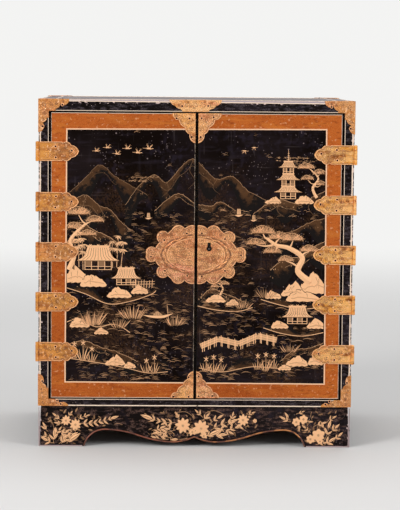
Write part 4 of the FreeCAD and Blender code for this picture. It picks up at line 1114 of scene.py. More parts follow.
def plank_walk(corners, width):
    """A zigzag footbridge of planks on pairs of stakes."""
    lift = 0.24
    for (x0, z0), (x1, z1) in zip(corners, corners[1:]):
        run = math.hypot(x1 - x0, z1 - z0)
        nx, nz = -(z1 - z0) / run * width / 2, (x1 - x0) / run * width / 2
        flat.patch([(x0 - nx, z0 - nz), (x1 - nx, z1 - nz), (x1 + nx, z1 + nz), (x0 + nx, z0 + nz)],
                   lift, 0.62)
        for side in (-1, -0.05, 1):
            flat.stroke([(x0 + nx * side, z0 + nz * side), (x1 + nx * side, z1 + nz * side)],
                        0.8, lift + 0.06, 0.98 if side else 0.1, fade=0 if side else 0.7)
        for index in range(int(run / 13) + 1):
            t = (index + 0.5) / (int(run / 13) + 1)
            px, pz = x0 + (x1 - x0) * t, z0 + (z1 - z0) * t
            flat.stroke([(px + nx, pz + abs(nz) + 3), (px + nx, pz - abs(nz) - 6)], 1.0,
                        lift + 0.03, 0.8)
            flat.stroke([(px - nx, pz + abs(nz) + 1), (px - nx, pz - abs(nz) - 7)], 1.0,
                        lift + 0.08, 0.9)
        lift += 0.012


def shore(points, tone=0.8, dashes=6):
    """A sandy edge with short strokes of shallow water beyond it."""
    lift = 0.14
    line = curved(points, 5)
    flat.slope(line[::-1], -17, lift - 0.03, 0.10, 0.15, 4)
    flat.stroke(line, 1.0, lift, tone)
    for index in range(dashes):
        x, z = line[int((index + 0.5) / dashes * len(line))]
        ripples.append((x - 7, z - random.uniform(4, 9), lift, 0, random.uniform(9, 18), 0.55))


def mist(x, z, length, rows):
    """Level bands of mist with round ends."""
    lift, tone = 0.12, 0.3
    for index in range(rows):
        start = x + random.uniform(0, length * 0.25)
        level = z - index * 4.6
        for _ in range(int(length * 0.9)):
            specks.append((start + random.triangular(0, length * 0.8), level + random.gauss(0, 0.8),
                           lift, random.uniform(-8, 8), random.uniform(1.2, 3.4),
                           tone + random.uniform(-0.1, 0.3)))


def water(x_low, x_high, z_low, z_high, count):
    """Ripples in small stacks, each line a little aside of the one below it."""
    tone = 0.42
    for _ in range(count):
        x, z = random.uniform(x_low, x_high), random.uniform(z_low, z_high)
        length, bright = random.uniform(5, 13), tone + random.uniform(-0.15, 0.35)
        for step in range(random.randint(2, 4)):
            ripples.append((x + random.uniform(-3, 3), z + step * 1.9, 0.1, random.uniform(-4, 4),
                            length * (1 - 0.17 * step), bright - 0.06 * step))


random.seed(23)
# Far shore, mist and birds
mist(-120, 398, 66, 2)
mist(96, 428, 80, 2)
hill([(-188, 372), (-160, 398), (-141, 415), (-120, 400), (-98, 386), (-72, 374)], 34, 0.05,
     rim=0.25)
hill([(-104, 358), (-84, 384), (-62, 402), (-44, 392), (-24, 412), (-5, 426), (12, 410), (30, 396),
      (52, 401), (76, 380), (104, 364)], 40, 0.07, 0.3)
fold([(-5, 425), (-10, 408), (-2, 394), (-12, 382)], 0.16)
fold([(-44, 392), (-40, 380), (-50, 370)], 0.16)
fold([(30, 396), (24, 384), (34, 374)], 0.16)
hill([(-60, 350), (-42, 366), (-22, 374), (-4, 362), (20, 356), (36, 364), (58, 350)], 22, 0.10,
     0.38)
for x, z, size, turn in ((-70, 440, 12, -8), (-86, 434, 11, -8), (-101, 440, 10.5, -4),
                         (-116, 432, 10, -10), (-130, 441, 9.5, -5), (-146, 436, 9, -4),
                         (70, 438, 8, 172), (84, 443, 7, 174)):
    crane(x, z, size, turn)
for x, z, size in ((62, 343, 10), (84, 336, 8), (-70, 338, 8)):
    sail(x, z, size)
# Left bank: wooded hills, two farmhouses, a bamboo grove and a moored punt
hill([(-191, 352), (-176, 366), (-160, 372), (-142, 356), (-126, 350), (-112, 334), (-96, 322)], 46,
     0.12, 0.34, 0.02)
fold([(-160, 371), (-166, 350), (-154, 336), (-160, 322)], 0.2, 0.9)
fold([(-142, 356), (-136, 342), (-144, 330)], 0.2, 0.8)
hill([(-191, 318), (-170, 332), (-150, 322), (-128, 312), (-112, 300)], 36, 0.14, 0.55, 0.02, 0.3)
for x, height in ((-178, 44), (-171, 52), (-165, 47), (-122, 40), (-116, 47), (-110, 42)):
    bamboo(x, 262 + (x % 5), height, random.uniform(-0.08, 0.14))
cottage(-143, 262, 62)
cottage(-102, 240, 44, 0.27)
rock(-176, 244, 34, 26)
rock(-150, 238, 40, 20, 0.20)
rock(-112, 222, 36, 17, 0.21)
rock(-82, 228, 26, 14, 0.19)
shore([(-191, 236), (-160, 226), (-128, 212), (-96, 216), (-66, 226), (-58, 232)])
for x in range(-92, -60, 4):
    flat.stroke([(x, 236), (x + 0.6, 246 + (x % 3))], 0.8, 0.25, 0.75)
flat.stroke([(-94, 241), (-60, 242)], 0.7, 0.28, 0.8)
flat.stroke([(-94, 244.5), (-60, 245.5)], 0.6, 0.28, 0.7)
pine([(-186, 262), (-178, 284), (-184, 304), (-170, 322), (-160, 330)], 7.5,
     ((-172, 342, 34, 13), (-148, 332, 26, 10), (-178, 322, 26, 10), (-158, 312, 24, 9),
      (-180, 300, 18, 8)))
punt(-56, 192, 40)
reeds(-92, 190, 34, 22, 20)
reeds(-30, 180, 26, 16, 17)
shore([(-191, 184), (-170, 190), (-146, 178), (-118, 182), (-96, 170)], dashes=8)
rock(-170, 178, 30, 16)
rock(-138, 168, 22, 10, 0.2)
reeds(-150, 180, 30, 20, 22)
reeds(-112, 176, 22, 14, 16)
hill([(-191, 150), (-166, 158), (-140, 148), (-112, 140), (-84, 128)], 26, 0.12, 0.45)
shore([(-191, 132), (-150, 126), (-104, 118), (-70, 110), (-40, 112)], tone=0.7, dashes=9)
rock(-118, 122, 30, 15)
rock(-96, 118, 18, 10, 0.2)
for x, z, height in ((-178, 130, 22), (-165, 127, 27), (-152, 125, 20), (-72, 110, 18),
                     (-60, 110, 23)):
    iris(x, z, height)
# Right bank: a tower above old pines, an islet, a farmhouse and a plank walk among irises
hill([(84, 344), (104, 360), (124, 368), (150, 360), (170, 372), (191, 380)], 34, 0.12, 0.42, 0.04)
fold([(124, 367), (118, 352), (128, 342)], 0.2, 0.8)
fold([(170, 372), (164, 356), (172, 344)], 0.2, 0.8)
tower(134, 368, 42, 3)
rock(112, 362, 24, 10)
rock(158, 362, 28, 13, 0.2)
pine([(176, 370), (170, 384), (178, 398), (168, 410)], 4.5,
     ((160, 412, 24, 9), (180, 404, 20, 8), (162, 396, 18, 7), (182, 388, 16, 7)))
hill([(96, 300), (118, 316), (142, 322), (166, 334), (191, 340)], 40, 0.14, 0.36, 0.02)
hill([(110, 262), (132, 280), (156, 284), (176, 300), (191, 306)], 40, 0.15, 0.5, 0.02)
rock(172, 230, 40, 34)
rock(142, 226, 34, 22, 0.2)
rock(114, 222, 24, 13, 0.21)
rock(158, 218, 52, 18, 0.23)
pine([(168, 246), (150, 262), (156, 282), (136, 296), (118, 300), (104, 310)], 10,
     ((98, 316, 34, 13), (122, 308, 32, 12), (88, 300, 28, 10), (142, 306, 30, 12),
      (112, 288, 26, 10), (166, 290, 26, 11), (132, 276, 22, 9)))
shore([(96, 220), (124, 212), (156, 206), (191, 210)], dashes=8)
reeds(104, 222, 22, 16, 16)
hill([(6, 222), (22, 234), (40, 230), (58, 222), (76, 214)], 15, 0.12, 0.5)
rock(30, 216, 30, 13)
rock(54, 212, 20, 9, 0.2)
pine([(36, 226), (40, 236), (34, 244)], 3.0, ((30, 245, 15, 6), (42, 241, 14, 6), (28, 237, 11, 5)))
shore([(2, 210), (30, 204), (62, 202), (84, 208)], dashes=6)
reeds(70, 206, 20, 13, 14)
cottage(150, 184, 46, 0.26)
rock(178, 178, 28, 16, 0.24)
rock(124, 178, 26, 13, 0.24)
shore([(100, 178), (126, 170), (158, 166), (191, 172)], dashes=8)
plank_walk([(120, 160), (92, 166), (64, 154), (34, 161), (8, 150)], 7)
reeds(140, 142, 24, 14, 14)
for x, z, height in ((16, 112, 19), (27, 110, 24), (38, 112, 18), (92, 116, 20), (104, 113, 25),
                     (116, 117, 19)):
    iris(x, z, height)
shore([(6, 118), (40, 112), (84, 120), (130, 118), (168, 126), (191, 124)], tone=0.7, dashes=12)
hill([(126, 130), (146, 144), (168, 148), (191, 158)], 26, 0.12, 0.45)
rock(150, 122, 34, 16)
rock(178, 124, 24, 20, 0.22)
rock(132, 116, 20, 9, 0.21)
for low_x, high_x, low_z, high_z, count in (
        (-110, 96, 300, 350, 130), (-100, 92, 232, 300, 110), (-186, -20, 190, 216, 40),
        (-92, 86, 180, 232, 110), (-186, 186, 98, 200, 330), (70, 180, 330, 350, 14),
        (-186, 180, 380, 464, 8)):
    water(low_x, high_x, low_z, high_z, count)


def on_door(seeds, hand):
    """The seeds whose blades stay on one door's black field."""
    kept = []
    for x, z, lift, turn, length, tone in seeds:
        tip_x, tip_z = tip_of(x, z, turn, length)
        if (all(DOOR_INNER + 1.2 < hand * a < FIELD_OUTER - 2.2 for a in (x, tip_x))
                and all(FIELD_LOW + 2.2 < b < FIELD_HIGH - 2.2 for b in (z, tip_z))):
            kept.append((x, z, lift, turn, length, tone))
    return kept


for name, hand in SIDES:
    low, high = sorted((hand * (DOOR_INNER + 0.9), hand * (FIELD_OUTER - 1.6)))
    part = flat.trimmed(low, high, FIELD_LOW + 1.4, FIELD_HIGH - 1.6)
    part.laid(f"picture_{name}_shapes", f"{name}_door", picture_gold, ONTO_FRONT, 0.35)
    for kind, seeds, width, bend in (("needles", needles, 0.070, 0.02),
                                     ("leaflets", leaflets, 0.26, 0.0),
                                     ("swords", swords, 0.075, 0.03),
                                     ("ripples", ripples, 0.055, 0.13),
                                     ("scrub", specks, 0.36, 0.0)):
        strewn(f"picture_{name}_{kind}", on_door(seeds, hand), f"{name}_door", picture_gold,
               ONTO_FRONT, width, bend, thickness=0.03)
flat.form.free()

# ----------------------------------------------------------------------
# Gilt mounts
# Sheets of gilt brass, sawn to leafy outlines, chiselled with scrolls and nailed through the
# lacquer. The gilding is rubbed and browned, most of all in the hollows.
# ----------------------------------------------------------------------
MOUNT_FACE, HINGE_FACE, LOCK_FACE, LOCK_FIELD_FACE = (
    FRONT - 0.8, FRONT - 1.2, FRONT - 1.2, FRONT - 1.9)
HINGE_MIDDLE, HINGE_STAGGER, HINGE_PITCH = 287, 1.15, 73.5


def scrolls(finish, scale):
    """Chiselled spirals, one to each cell. The pattern goes on round the corners."""
    x, y, z = (finish.axis(name) for name in "XYZ")
    flat = x.node("ShaderNodeCombineXYZ", {}, {"X": x + y, "Y": z + y * 0.6})
    middle = flat.node("ShaderNodeTexVoronoi", {"voronoi_dimensions": "2D"}, {
        "Vector": flat, "Scale": scale, "Randomness": 0.7}, out="Position")
    arm = flat.node("ShaderNodeVectorMath", {"operation": "SUBTRACT"}, {0: flat, 1: middle})
    run, climb = (arm.node("ShaderNodeSeparateXYZ", {}, {"Vector": arm}, out=n) for n in "XY")
    reach = arm.node("ShaderNodeVectorMath", {"operation": "LENGTH"}, {0: arm}, out="Value")
    turns = (reach * (scale * 3.2) + climb.maths("ARCTAN2", climb, run) / math.tau + 8)
    return (turns.maths("FRACT", turns) - 0.5).size().rise(0.24, 0.08)


def gilt(name, ruled, engraved, yellow, pink):
    """Chiselled gilding, yellow with pink patches, browned and streaked, with painted highlights,
    painted shade and painted glints. Ruled adds a hinge's straight grooves, its plain knuckles and
    the dark that fingers leave round it."""
    finish = Finish(name)
    cut = scrolls(finish, 118)
    if ruled:
        lowest = HINGE_MIDDLE + HINGE_STAGGER - 2 * HINGE_PITCH
        height = finish.axis("Z") / MM + finish.axis("X").rise(-0.01, 0.01) * (2 * HINGE_STAGGER)
        height = height - lowest
        off = height.maths("PINGPONG", height, HINGE_PITCH / 2)
        plain = off.rise(9.6, 10.0)
        grooves = (off - 12.4).size().rise(0.55, 0.15).most((off - 10.4).size().rise(0.45, 0.10))
        barrel = finish.axis("X").size().rise(0.2205, 0.2225)
        cut = (cut * (1 - plain)).most(grooves) * (1 - barrel)
    browned = (finish.noise(34, 3) * 0.4 + finish.noise(190, 3) * 0.6).rise(0.46, 0.60)
    grain = finish.noise(900, 2)
    rosy = finish.noise(17, 2).rise(0.42, 0.60)
    fresh = rosy.blend(yellow, pink)
    colour = (browned * (1.0 if ruled else 0.7)).blend(fresh, (0.26, 0.078, 0.018))
    x, z = finish.axis("X"), finish.axis("Z")
    # Painted highlights: bright patches that grow stronger towards the right, and strongest at the
    # top middle.
    middle = x.size().rise(0.09, 0.05) * z.rise(0.485, 0.500)
    bright = (x.rise(-0.26, 0.24) * 0.55 + 0.25).most(middle)
    bright = bright * finish.noise(95, 3, finish.stretched((0.35, 1, 1.6))).rise(0.38, 0.58)
    colour = (bright * 0.85).blend(colour, (1.0, 0.55, 0.18 if ruled else 0.22))
    # Painted shade: darker brown on the left half of each hinge, and on the outer ends of the other
    # mounts where they turn onto the sides.
    dull = x.rise(0.03, -0.03) * 0.33 if ruled else x.size().rise(0.16, 0.20) * 0.46
    colour = dull.blend(colour, (0.46, 0.155, 0.046))
    if ruled:
        fingered = off.rise(11, 4) * (x.size() - 0.196).size().rise(0.022, 0.008)
        fingered = fingered * finish.noise(120, 3, finish.stretched((0.5, 1, 1.4))).rise(0.36, 0.60)
        colour = (fingered * (x.rise(0.05, -0.05) * 0.20 + 0.28)).blend(
            colour, (0.26, 0.105, 0.022))
    colour = (cut * engraved).blend(colour, (0.17, 0.055, 0.018))
    streaks = finish.noise(130, 4, finish.stretched((0.22, 1, 1.8))).rise(0.54, 0.68)
    colour = (streaks * (0.55 if ruled else 0.25)).blend(colour, (0.40, 0.135, 0.036))
    # Painted glints: small bright specks.
    colour = (finish.noise(260, 3).rise(0.56, 0.68) * 0.60).blend(colour, (1.0, 0.60, 0.33))
    shape = finish.noise(45, 2) * 0.5 + grain * 0.06 - cut * engraved * 0.5
    return finish.feed(Base_Color=colour, Metallic=1 - cut * 0.25 - bright * 0.5,
                       Roughness=browned * 0.16 + grain * 0.14 + 0.30,
                       Normal=finish.bump(shape, 0.80, 0.0008))


mount_gilt = gilt("mount_gilt", False, 0.50, (0.90, 0.395, 0.110), (0.90, 0.370, 0.180))
dress(mount_gilt, "corner_mount_top_left", "corner_mount_top_right", "corner_mount_bottom_left",
      "corner_mount_bottom_right", "rear_corner_mounts", "top_centre_mount",
      "door_left_corner_mounts", "door_right_corner_mounts")


def nail(points, Head_Radius, Head_Rise, Seat_Radius):
    """A round-headed nail in a wider, flatter seat painted bright as a highlight, square to the
    face it is driven into.
    """

    def dome(rings, radius, rise):
        ball = points.node("GeometryNodeMeshUVSphere", {}, {
            "Segments": 12, "Rings": rings, "Radius": radius})
        place = points.node("GeometryNodeInputPosition")
        x, y, z = (place.node("ShaderNodeSeparateXYZ", {}, {"Vector": place}, out=n) for n in "XYZ")
        flat = place.node("ShaderNodeCombineXYZ", {}, {"X": x, "Y": y, "Z": z * rise / radius})
        return points.node("GeometryNodeSetPosition", {}, {"Geometry": ball, "Position": flat})

    head = dome(6, Head_Radius, Head_Rise)
    seat = dome(4, Seat_Radius, Head_Rise * 0.35)
    seat = seat.node("GeometryNodeStoreNamedAttribute", {"data_type": "FLOAT", "domain": "POINT"},
                     {"Geometry": seat, "Name": "seat", "Value": 1.0})
    whole = points.node("GeometryNodeJoinGeometry")
    for part in (head, seat):
        whole.socket.id_data.links.new(part.socket, whole.socket.node.inputs[0])
    facing = points.node("GeometryNodeInputNamedAttribute", {"data_type": "FLOAT_VECTOR"},
                         {"Name": "facing"}, out="Attribute")
    turn = points.node("FunctionNodeAlignRotationToVector", {"axis": "Z"}, {"Vector": facing})
    return points.node("GeometryNodeInstanceOnPoints", {}, {
        "Points": points, "Instance": whole, "Rotation": turn})


def nail_brown():
    """A head that has gone brown, in a seat painted bright as a highlight."""
    finish = Finish("nail_brown", Specular_IOR_Level=0.05)
    seat = finish.attribute("seat")
    # Painted highlight: the seat ring round each dark head is bright.
    colour = seat.blend((0.010, 0.0035, 0.002), (1.0, 0.56, 0.30))
    return finish.feed(Base_Color=colour, Metallic=seat * 0.6,
                       Roughness=0.9 - finish.noise(400, 2) * 0.2)


nail_finish = nail_brown()


def nailed(name, body, spots):
    """Nails at ((x, y, z), facing) spots, in one mesh."""
    radius, rise, seat = 1.6, 0.4, 1.6 * 1.35
    mesh = bpy.data.meshes.new(name)
    mesh.from_pydata([Vector(place) * MM for place, _ in spots], [], [])
    facing = mesh.attributes.new("facing", "FLOAT_VECTOR", "POINT")
    facing.data.foreach_set("vector", [value for _, way in spots for value in way])
    piece = tree_mesh(name, bpy.data.objects.new(name, mesh), nail_finish, nail,
                      Head_Radius=radius * MM, Head_Rise=rise * MM, Seat_Radius=seat * MM)
    return settled(piece, body)


AHEAD, BEHIND, UPWARD = (0, -1, 0), (0, 1, 0), (0, 0, 1)
SHEET, HINGE_SHEET = 0.8, 1.2
cabinet_nails = [((x, MOUNT_FACE, z), AHEAD) for x, z in (
    (-195.8, 502.8), (-224, 471.3), (195.8, 502.8), (224, 471.3), (-202.6, 68.3), (-197.4, 63.4),
    (-224.3, 97.2), (224.5, 96.8), (193.2, 64.5), (199.1, 69), (-21.6, 502.2), (16.0, 502.8))]
for name, hand in SIDES:
    face, way = hand * (half_wide + SHEET), (hand, 0, 0)
    cabinet_nails += [((face, FRONT + run, z), way) for run, z in (
        (34, 502.8), (6, 471.3), (34, 65.5), (6, 97))]
    cabinet_nails += [((face, BACK - 28, 505), way), ((face, BACK - 5, 482), way),
                      ((hand * (half_wide - 5), BACK + SHEET, 482), BEHIND),
                      ((hand * (half_wide - 28), BACK + SHEET, 505), BEHIND)]
    cabinet_nails += [((hand * (half_wide - across), y, CARCASS_TOP + SHEET), UPWARD)
                      for across, y in ((34, FRONT + 6), (6, FRONT + 34), (28, BACK - 5),
                                        (5, BACK - 28))]
cabinet_nails += [((x, FRONT + 12, CARCASS_TOP + SHEET), UPWARD) for x in (-16, 12)]
HINGES = {side: [HINGE_MIDDLE - HINGE_STAGGER * hand + HINGE_PITCH * row
                 for row in (2, 1, 0, -1, -2)] for side, hand in SIDES}
for name, hand in SIDES:
    face, way = hand * (half_wide + HINGE_SHEET), (hand, 0, 0)
    for height in HINGES[name]:
        cabinet_nails += [((face, FRONT + 25, height + 8), way),
                          ((face, FRONT + 25, height - 8), way),
                          ((face, FRONT + 48.5, height + 1), way)]
nailed("cabinet_nails", "cabinet", cabinet_nails)

# ----------------------------------------------------------------------
# Hinges
# Each hinge has a strap with a cusped end on the door, a leaf on the carcass's side, and a pin
# through their three knuckles. Two grooves are ruled along a strap's edges.
# ----------------------------------------------------------------------
hinge_gilt = gilt("hinge_gilt", True, 0.42, (0.88, 0.365, 0.064), (0.88, 0.355, 0.115))
dress(hinge_gilt, "hinge_side_leaves_left", "hinge_side_leaves_right", "hinge_pins_left",
      "hinge_pins_right", *(f"hinge_strap_{side}_{number}" for side, _ in SIDES
                            for number in range(1, 6)))

DOOR_NAILS = {
    "left": ((-29.9, 484.5), (-7.7, 457.5), (-10.9, 484.4), (-9.1, 104), (-31.2, 74.9),
             (-8.9, 74.9)),
    "right": ((24, 486.3), (5.5, 457.6), (6.6, 484.6), (5.6, 105.6), (5.7, 75.8), (25.9, 76.3)),
}
PLATE_NAILS = {
    "left": ((-13.5, 316.6), (-46.4, 306.5), (-65.7, 282), (-45.2, 261.5), (-12.5, 254.2)),
    "right": ((8.5, 317), (42.3, 308.7), (66, 285), (42.8, 262), (9.1, 253.8)),
}
for name, hand in SIDES:
    spots = [((x, MOUNT_FACE, z), AHEAD) for x, z in DOOR_NAILS[name]]
    spots += [((x, LOCK_FACE, z), AHEAD) for x, z in PLATE_NAILS[name]]
    for height in HINGES[name]:
        for out, up in ((205, 8), (205, -8), (181.5, 1)):
            x, z = (random.uniform(-0.8, 0.8) for _ in "xz")
            spots.append(((hand * out + x, HINGE_FACE, height + up + z), AHEAD))
    nailed(f"door_{name}_nails", f"{name}_door", spots)

# ----------------------------------------------------------------------
# Lock plate
# Two lobed halves with a raised field inside a ridge. The right half is pierced for the key,
# whose pipe goes over an iron pin.
# ----------------------------------------------------------------------
plate_gilt = gilt("plate_gilt", False, 0.66, (0.75, 0.300, 0.130), (0.75, 0.290, 0.165))
dress(plate_gilt, "lock_plate_left", "lock_plate_right")
PLATE_MIDDLE, FIELD_WIDE, FIELD_TALL, RIDGE_WIDE, RIDGE_TALL = 285.5, 49, 29.5, 46.5, 26.5
RIDGE_START = DOOR_INNER + 1.5
ridge = [(RIDGE_START, RIDGE_TALL)]
for via, end in (((0.5, 0.866), (0.777, 0.63)), ((1, 0), (0.777, -0.63)),
                 ((0.5, -0.866), (RIDGE_START / RIDGE_WIDE, -1))):
    ridge += bow(ridge[-1], (RIDGE_WIDE * via[0], RIDGE_TALL * via[1]),
                 (RIDGE_WIDE * end[0], RIDGE_TALL * end[1]), 12)
waved = []
for x, z in ridge:
    wave = 1 + 0.035 * math.cos(16 * math.atan2(z / RIDGE_TALL, x / RIDGE_WIDE))
    waved.append((max(x * wave, RIDGE_START), z * wave))
for name, hand in SIDES:
    edge = [Vector((hand * x, LOCK_FIELD_FACE + 0.35, PLATE_MIDDLE + z)) * MM for x, z in waved]
    moulding = tree_mesh(f"lock_plate_{name}_ridge",
                         path_object(f"lock_plate_{name}_ridge", [edge]), plate_gilt,
                         bead_along, Bead_Radius=1.45 * MM)
    settled(moulding, f"{name}_door")

iron = Finish("lock_iron", Metallic=0.8)
rust = iron.noise(160, 3).rise(0.45, 0.65)
iron.feed(Base_Color=rust.blend((0.16, 0.15, 0.15), (0.10, 0.050, 0.030)),
          Roughness=rust * 0.3 + 0.42, Normal=iron.bump(iron.noise(700, 2), 0.3, 0.0003))
dress(iron.material, "lock_case", "lock_drill_pin", "lock_bolt", "lock_keeper")

# ----------------------------------------------------------------------
# Chiselled lines of the mounts
# Every mount has a painted highlight along its rim, a groove inside it, and scrolls cut with a
# fine chisel. Old dirt and lacquer in the cuts make them dark. Painted shade runs along both sides
# of the lock plate's ridge, with a painted highlight just inside it.
# ----------------------------------------------------------------------


def cut_metal():
    """Dark in a cut and in painted shade, bright in a painted highlight on a rim, all half lost
    under old polish.
    """
    finish = Finish("cut_metal", Roughness=0.5)
    shade = finish.attribute("tone").blend((0.150, 0.050, 0.016), (1.0, 0.56, 0.29))
    filled = finish.noise(240, 3).rise(0.42, 0.64) * 0.7 + finish.attribute("fade") * 0.6
    colour = filled.blend(shade, (0.60, 0.235, 0.080))
    return finish.feed(Base_Color=colour, Metallic=finish.attribute("tone") * 0.7 + 0.2)


cut = cut_metal()


def lobed(marks):
    """A line of arcs; the marks are a start, then a middle and an end for each arc."""
    line = [marks[0]]
    for via, end in zip(marks[1::2], marks[2::2]):
        line += bow(line[-1], via, end, 6)
    return line


def spiral(x, z, radius, start, hand):
    """A line that winds in to a middle; start is where it begins, in radians."""
    turns, steps = 1.4, 14
    return [(x + radius * (1 - 0.85 * t / steps)
             * math.cos(start + hand * turns * math.tau * t / steps),
             z + radius * (1 - 0.85 * t / steps)
             * math.sin(start + hand * turns * math.tau * t / steps))
            for t in range(steps + 1)]


class Chisel:
    """Lines cut in one mount, given in shares of its size from its corner or its middle."""

    def __init__(self, inlay, x, z, wide, tall):
        self.inlay, self.x, self.z, self.wide, self.tall = inlay, x, z, wide, tall

    def at(self, spots):
        return [(self.x + self.wide * u, self.z + self.tall * v) for u, v in spots]

    # The default steps: a painted highlight along the rim, then two dark grooves.
    def edge(self, marks, centre, steps=((0.965, 0.8, 0.9), (0.91, 0.9, 0.0), (0.84, 0.45, 0.1))):
        """Lines inside the outline. Each step is a share of the way out, a width and a tone."""
        (cx, cz), = self.at([centre])
        outline = lobed(self.at(marks))
        for scale, width, tone in steps:
            line = [(cx + (x - cx) * scale, cz + (z - cz) * scale) for x, z in outline]
            self.inlay.stroke(line, width, 0.05, tone)

    def scroll(self, u, v, radius, start, hand, leaves=3):
        """A spiral with short leaves round it."""
        (x, z), = self.at([(u, v)])
        self.inlay.stroke(spiral(x, z, radius, start, hand), 0.8, 0.06, 0.0, taper=0.4)
        for index in range(leaves):
            turn = start + hand * (0.5 + index * 0.9)
            out = [(x + radius * r * math.cos(turn + hand * 0.25 * (r - 1)),
                    z + radius * r * math.sin(turn + hand * 0.25 * (r - 1)))
                    for r in (1.05, 1.3, 1.6)]
            self.inlay.stroke(out, 0.95, 0.06, 0.05, taper=0.7)


STRAP_OUTER, STRAP_LONG, STRAP_HALF = 232, 60.5, 14
SPANDREL = [(1, 0), (0.95, 0.14), (0.73, 0.22), (0.64, 0.385), (0.46, 0.48), (0.40, 0.62),
            (0.25, 0.71), (0.215, 0.885), (0, 1)]
STRAP_END = [(0.60, 1), (0.625, 0.87), (0.65, 0.96), (0.76, 0.93), (0.82, 0.65), (0.935, 0.45),
             (1, 0)]
LOBES = [(0.03, 1), (0.15, 0.98), (0.227, 0.88), (0.365, 1.005), (0.488, 0.85), (0.535, 0.79),
         (0.568, 0.725), (0.755, 0.745), (0.745, 0.43), (0.729, 0.428), (0.712, 0.437),
         (0.785, 0.32), (0.822, 0.20), (0.93, 0.255), (1, 0)]
random.seed(31)
for name, hand in SIDES:
    work = Inlay()
    for z, tall in ((DOOR_HIGH, -43.5), (DOOR_LOW, 40.0)):
        leaf = Chisel(work, hand * DOOR_INNER, z, hand * 33.5, tall)
        leaf.edge(SPANDREL, (0.1, 0.1))
        for u, v, radius, start in ((0.27, 0.22, 4.2, 0.5), (0.60, 0.13, 3.0, 2.0),
                                    (0.17, 0.55, 3.2, 4.0), (0.80, 0.08, 1.8, 1.0),
                                    (0.10, 0.80, 1.9, 3.0)):
            leaf.scroll(u, v, radius, start, random.choice((-1, 1)))
    work.laid(f"door_{name}_mount_cuts", f"{name}_door", cut, moved(y=MOUNT_FACE), 0.2)
    work = Inlay()
    for height in HINGES[name]:
        plate = Chisel(work, hand * STRAP_OUTER, height, -hand * STRAP_LONG, STRAP_HALF)
        end = STRAP_END + [(u, -v) for u, v in STRAP_END[-2::-1]]
        # The first step is a painted highlight along the rim; the lines below paint one along each
        # long edge, with a dark groove inside it.
        plate.edge(end, (0.42, 0), ((0.975, 0.8, 0.9), (0.90, 0.8, 0.0), (0.82, 0.4, 0.1)))
        for low, high, width, tone in ((0.96, 0.97, 0.8, 0.9), (0.86, 0.88, 0.7, 0.0)):
            for side in (-1, 1):
                work.stroke(plate.at([(0.07, side * low), (0.6, side * high)]), width, 0.05, tone)
        for u, v, radius in ((0.30, 0.30, 2.9), (0.33, -0.36, 2.9), (0.50, 0.02, 3.4),
                             (0.66, 0.42, 2.5), (0.66, -0.42, 2.5), (0.80, 0.05, 2.6)):
            plate.scroll(u, v, radius * random.uniform(0.85, 1.1), random.uniform(0, 6),
                         random.choice((-1, 1)))
    work.laid(f"hinge_{name}_cuts", f"{name}_door", cut, moved(y=HINGE_FACE), 0.2)
    work = Inlay()
    plate = Chisel(work, 0, PLATE_MIDDLE, hand * 72.7, 43)
    for side in (1, -1):
        outline = [(u, v * side) for u, v in LOBES]
        # The first step is a painted highlight along the rim, then two dark grooves.
        plate.edge(outline, (0.2, 0), ((0.98, 0.9, 0.9), (0.945, 0.9, 0.0), (0.905, 0.45, 0.1)))
        for u, v, radius in ((0.12, 0.84, 3.2), (0.36, 0.83, 4.0), (0.63, 0.58, 4.6),
                             (0.88, 0.06, 4.2), (0.24, 0.76, 2.0), (0.49, 0.70, 2.4),
                             (0.74, 0.26, 2.6)):
            plate.scroll(u, v * side, radius, random.uniform(0, 6), random.choice((-1, 1)), 4)
    for u, v in (LOBES[2], LOBES[4], LOBES[7], LOBES[8], LOBES[10], LOBES[12]):
        for side in (1, -1):
            work.stroke(plate.at([(u * 0.995, v * side * 0.995), (u * 0.94, v * side * 0.94)]), 1.5,
                        0.06, 0.0, taper=0.7)
    # Painted shade outside and inside the ridge, and a painted highlight just inside it.
    for scale, width, tone in ((1.07, 2.3, 0.05), (0.955, 1.3, 0.0), (0.90, 0.7, 0.9)):
        waves = [scale + (0.025 * math.cos(9 * math.atan2(z * 1.6, x)) if scale > 1 else 0)
                 for x, z in ridge]
        ring = [(hand * x * wave, PLATE_MIDDLE + z * wave) for wave, (x, z) in zip(waves, ridge)]
        ring = [(x, z) for x, z in ring if abs(x) > DOOR_INNER + 0.8]
        work.stroke(ring, width, 0.75, tone)
    for _ in range(190):
        turn, reach = random.uniform(-math.pi / 2, math.pi / 2), math.sqrt(random.random()) * 0.74
        x, z = math.cos(turn) * reach * FIELD_WIDE * 0.98, math.sin(turn) * reach * FIELD_TALL
        if x > DOOR_INNER + 4 and not (hand > 0 and 13 < x < 24 and 0 < z < 22):
            work.stroke([(hand * x - 1.4, PLATE_MIDDLE + z), (hand * x, PLATE_MIDDLE + z + 0.5),
                         (hand * x + 1.4, PLATE_MIDDLE + z)], 0.65, 0.75, 0.0,
                         fade=random.uniform(0, 0.5))
    work.laid(f"lock_plate_{name}_cuts", f"{name}_door", cut, moved(y=LOCK_FACE), 0.15)

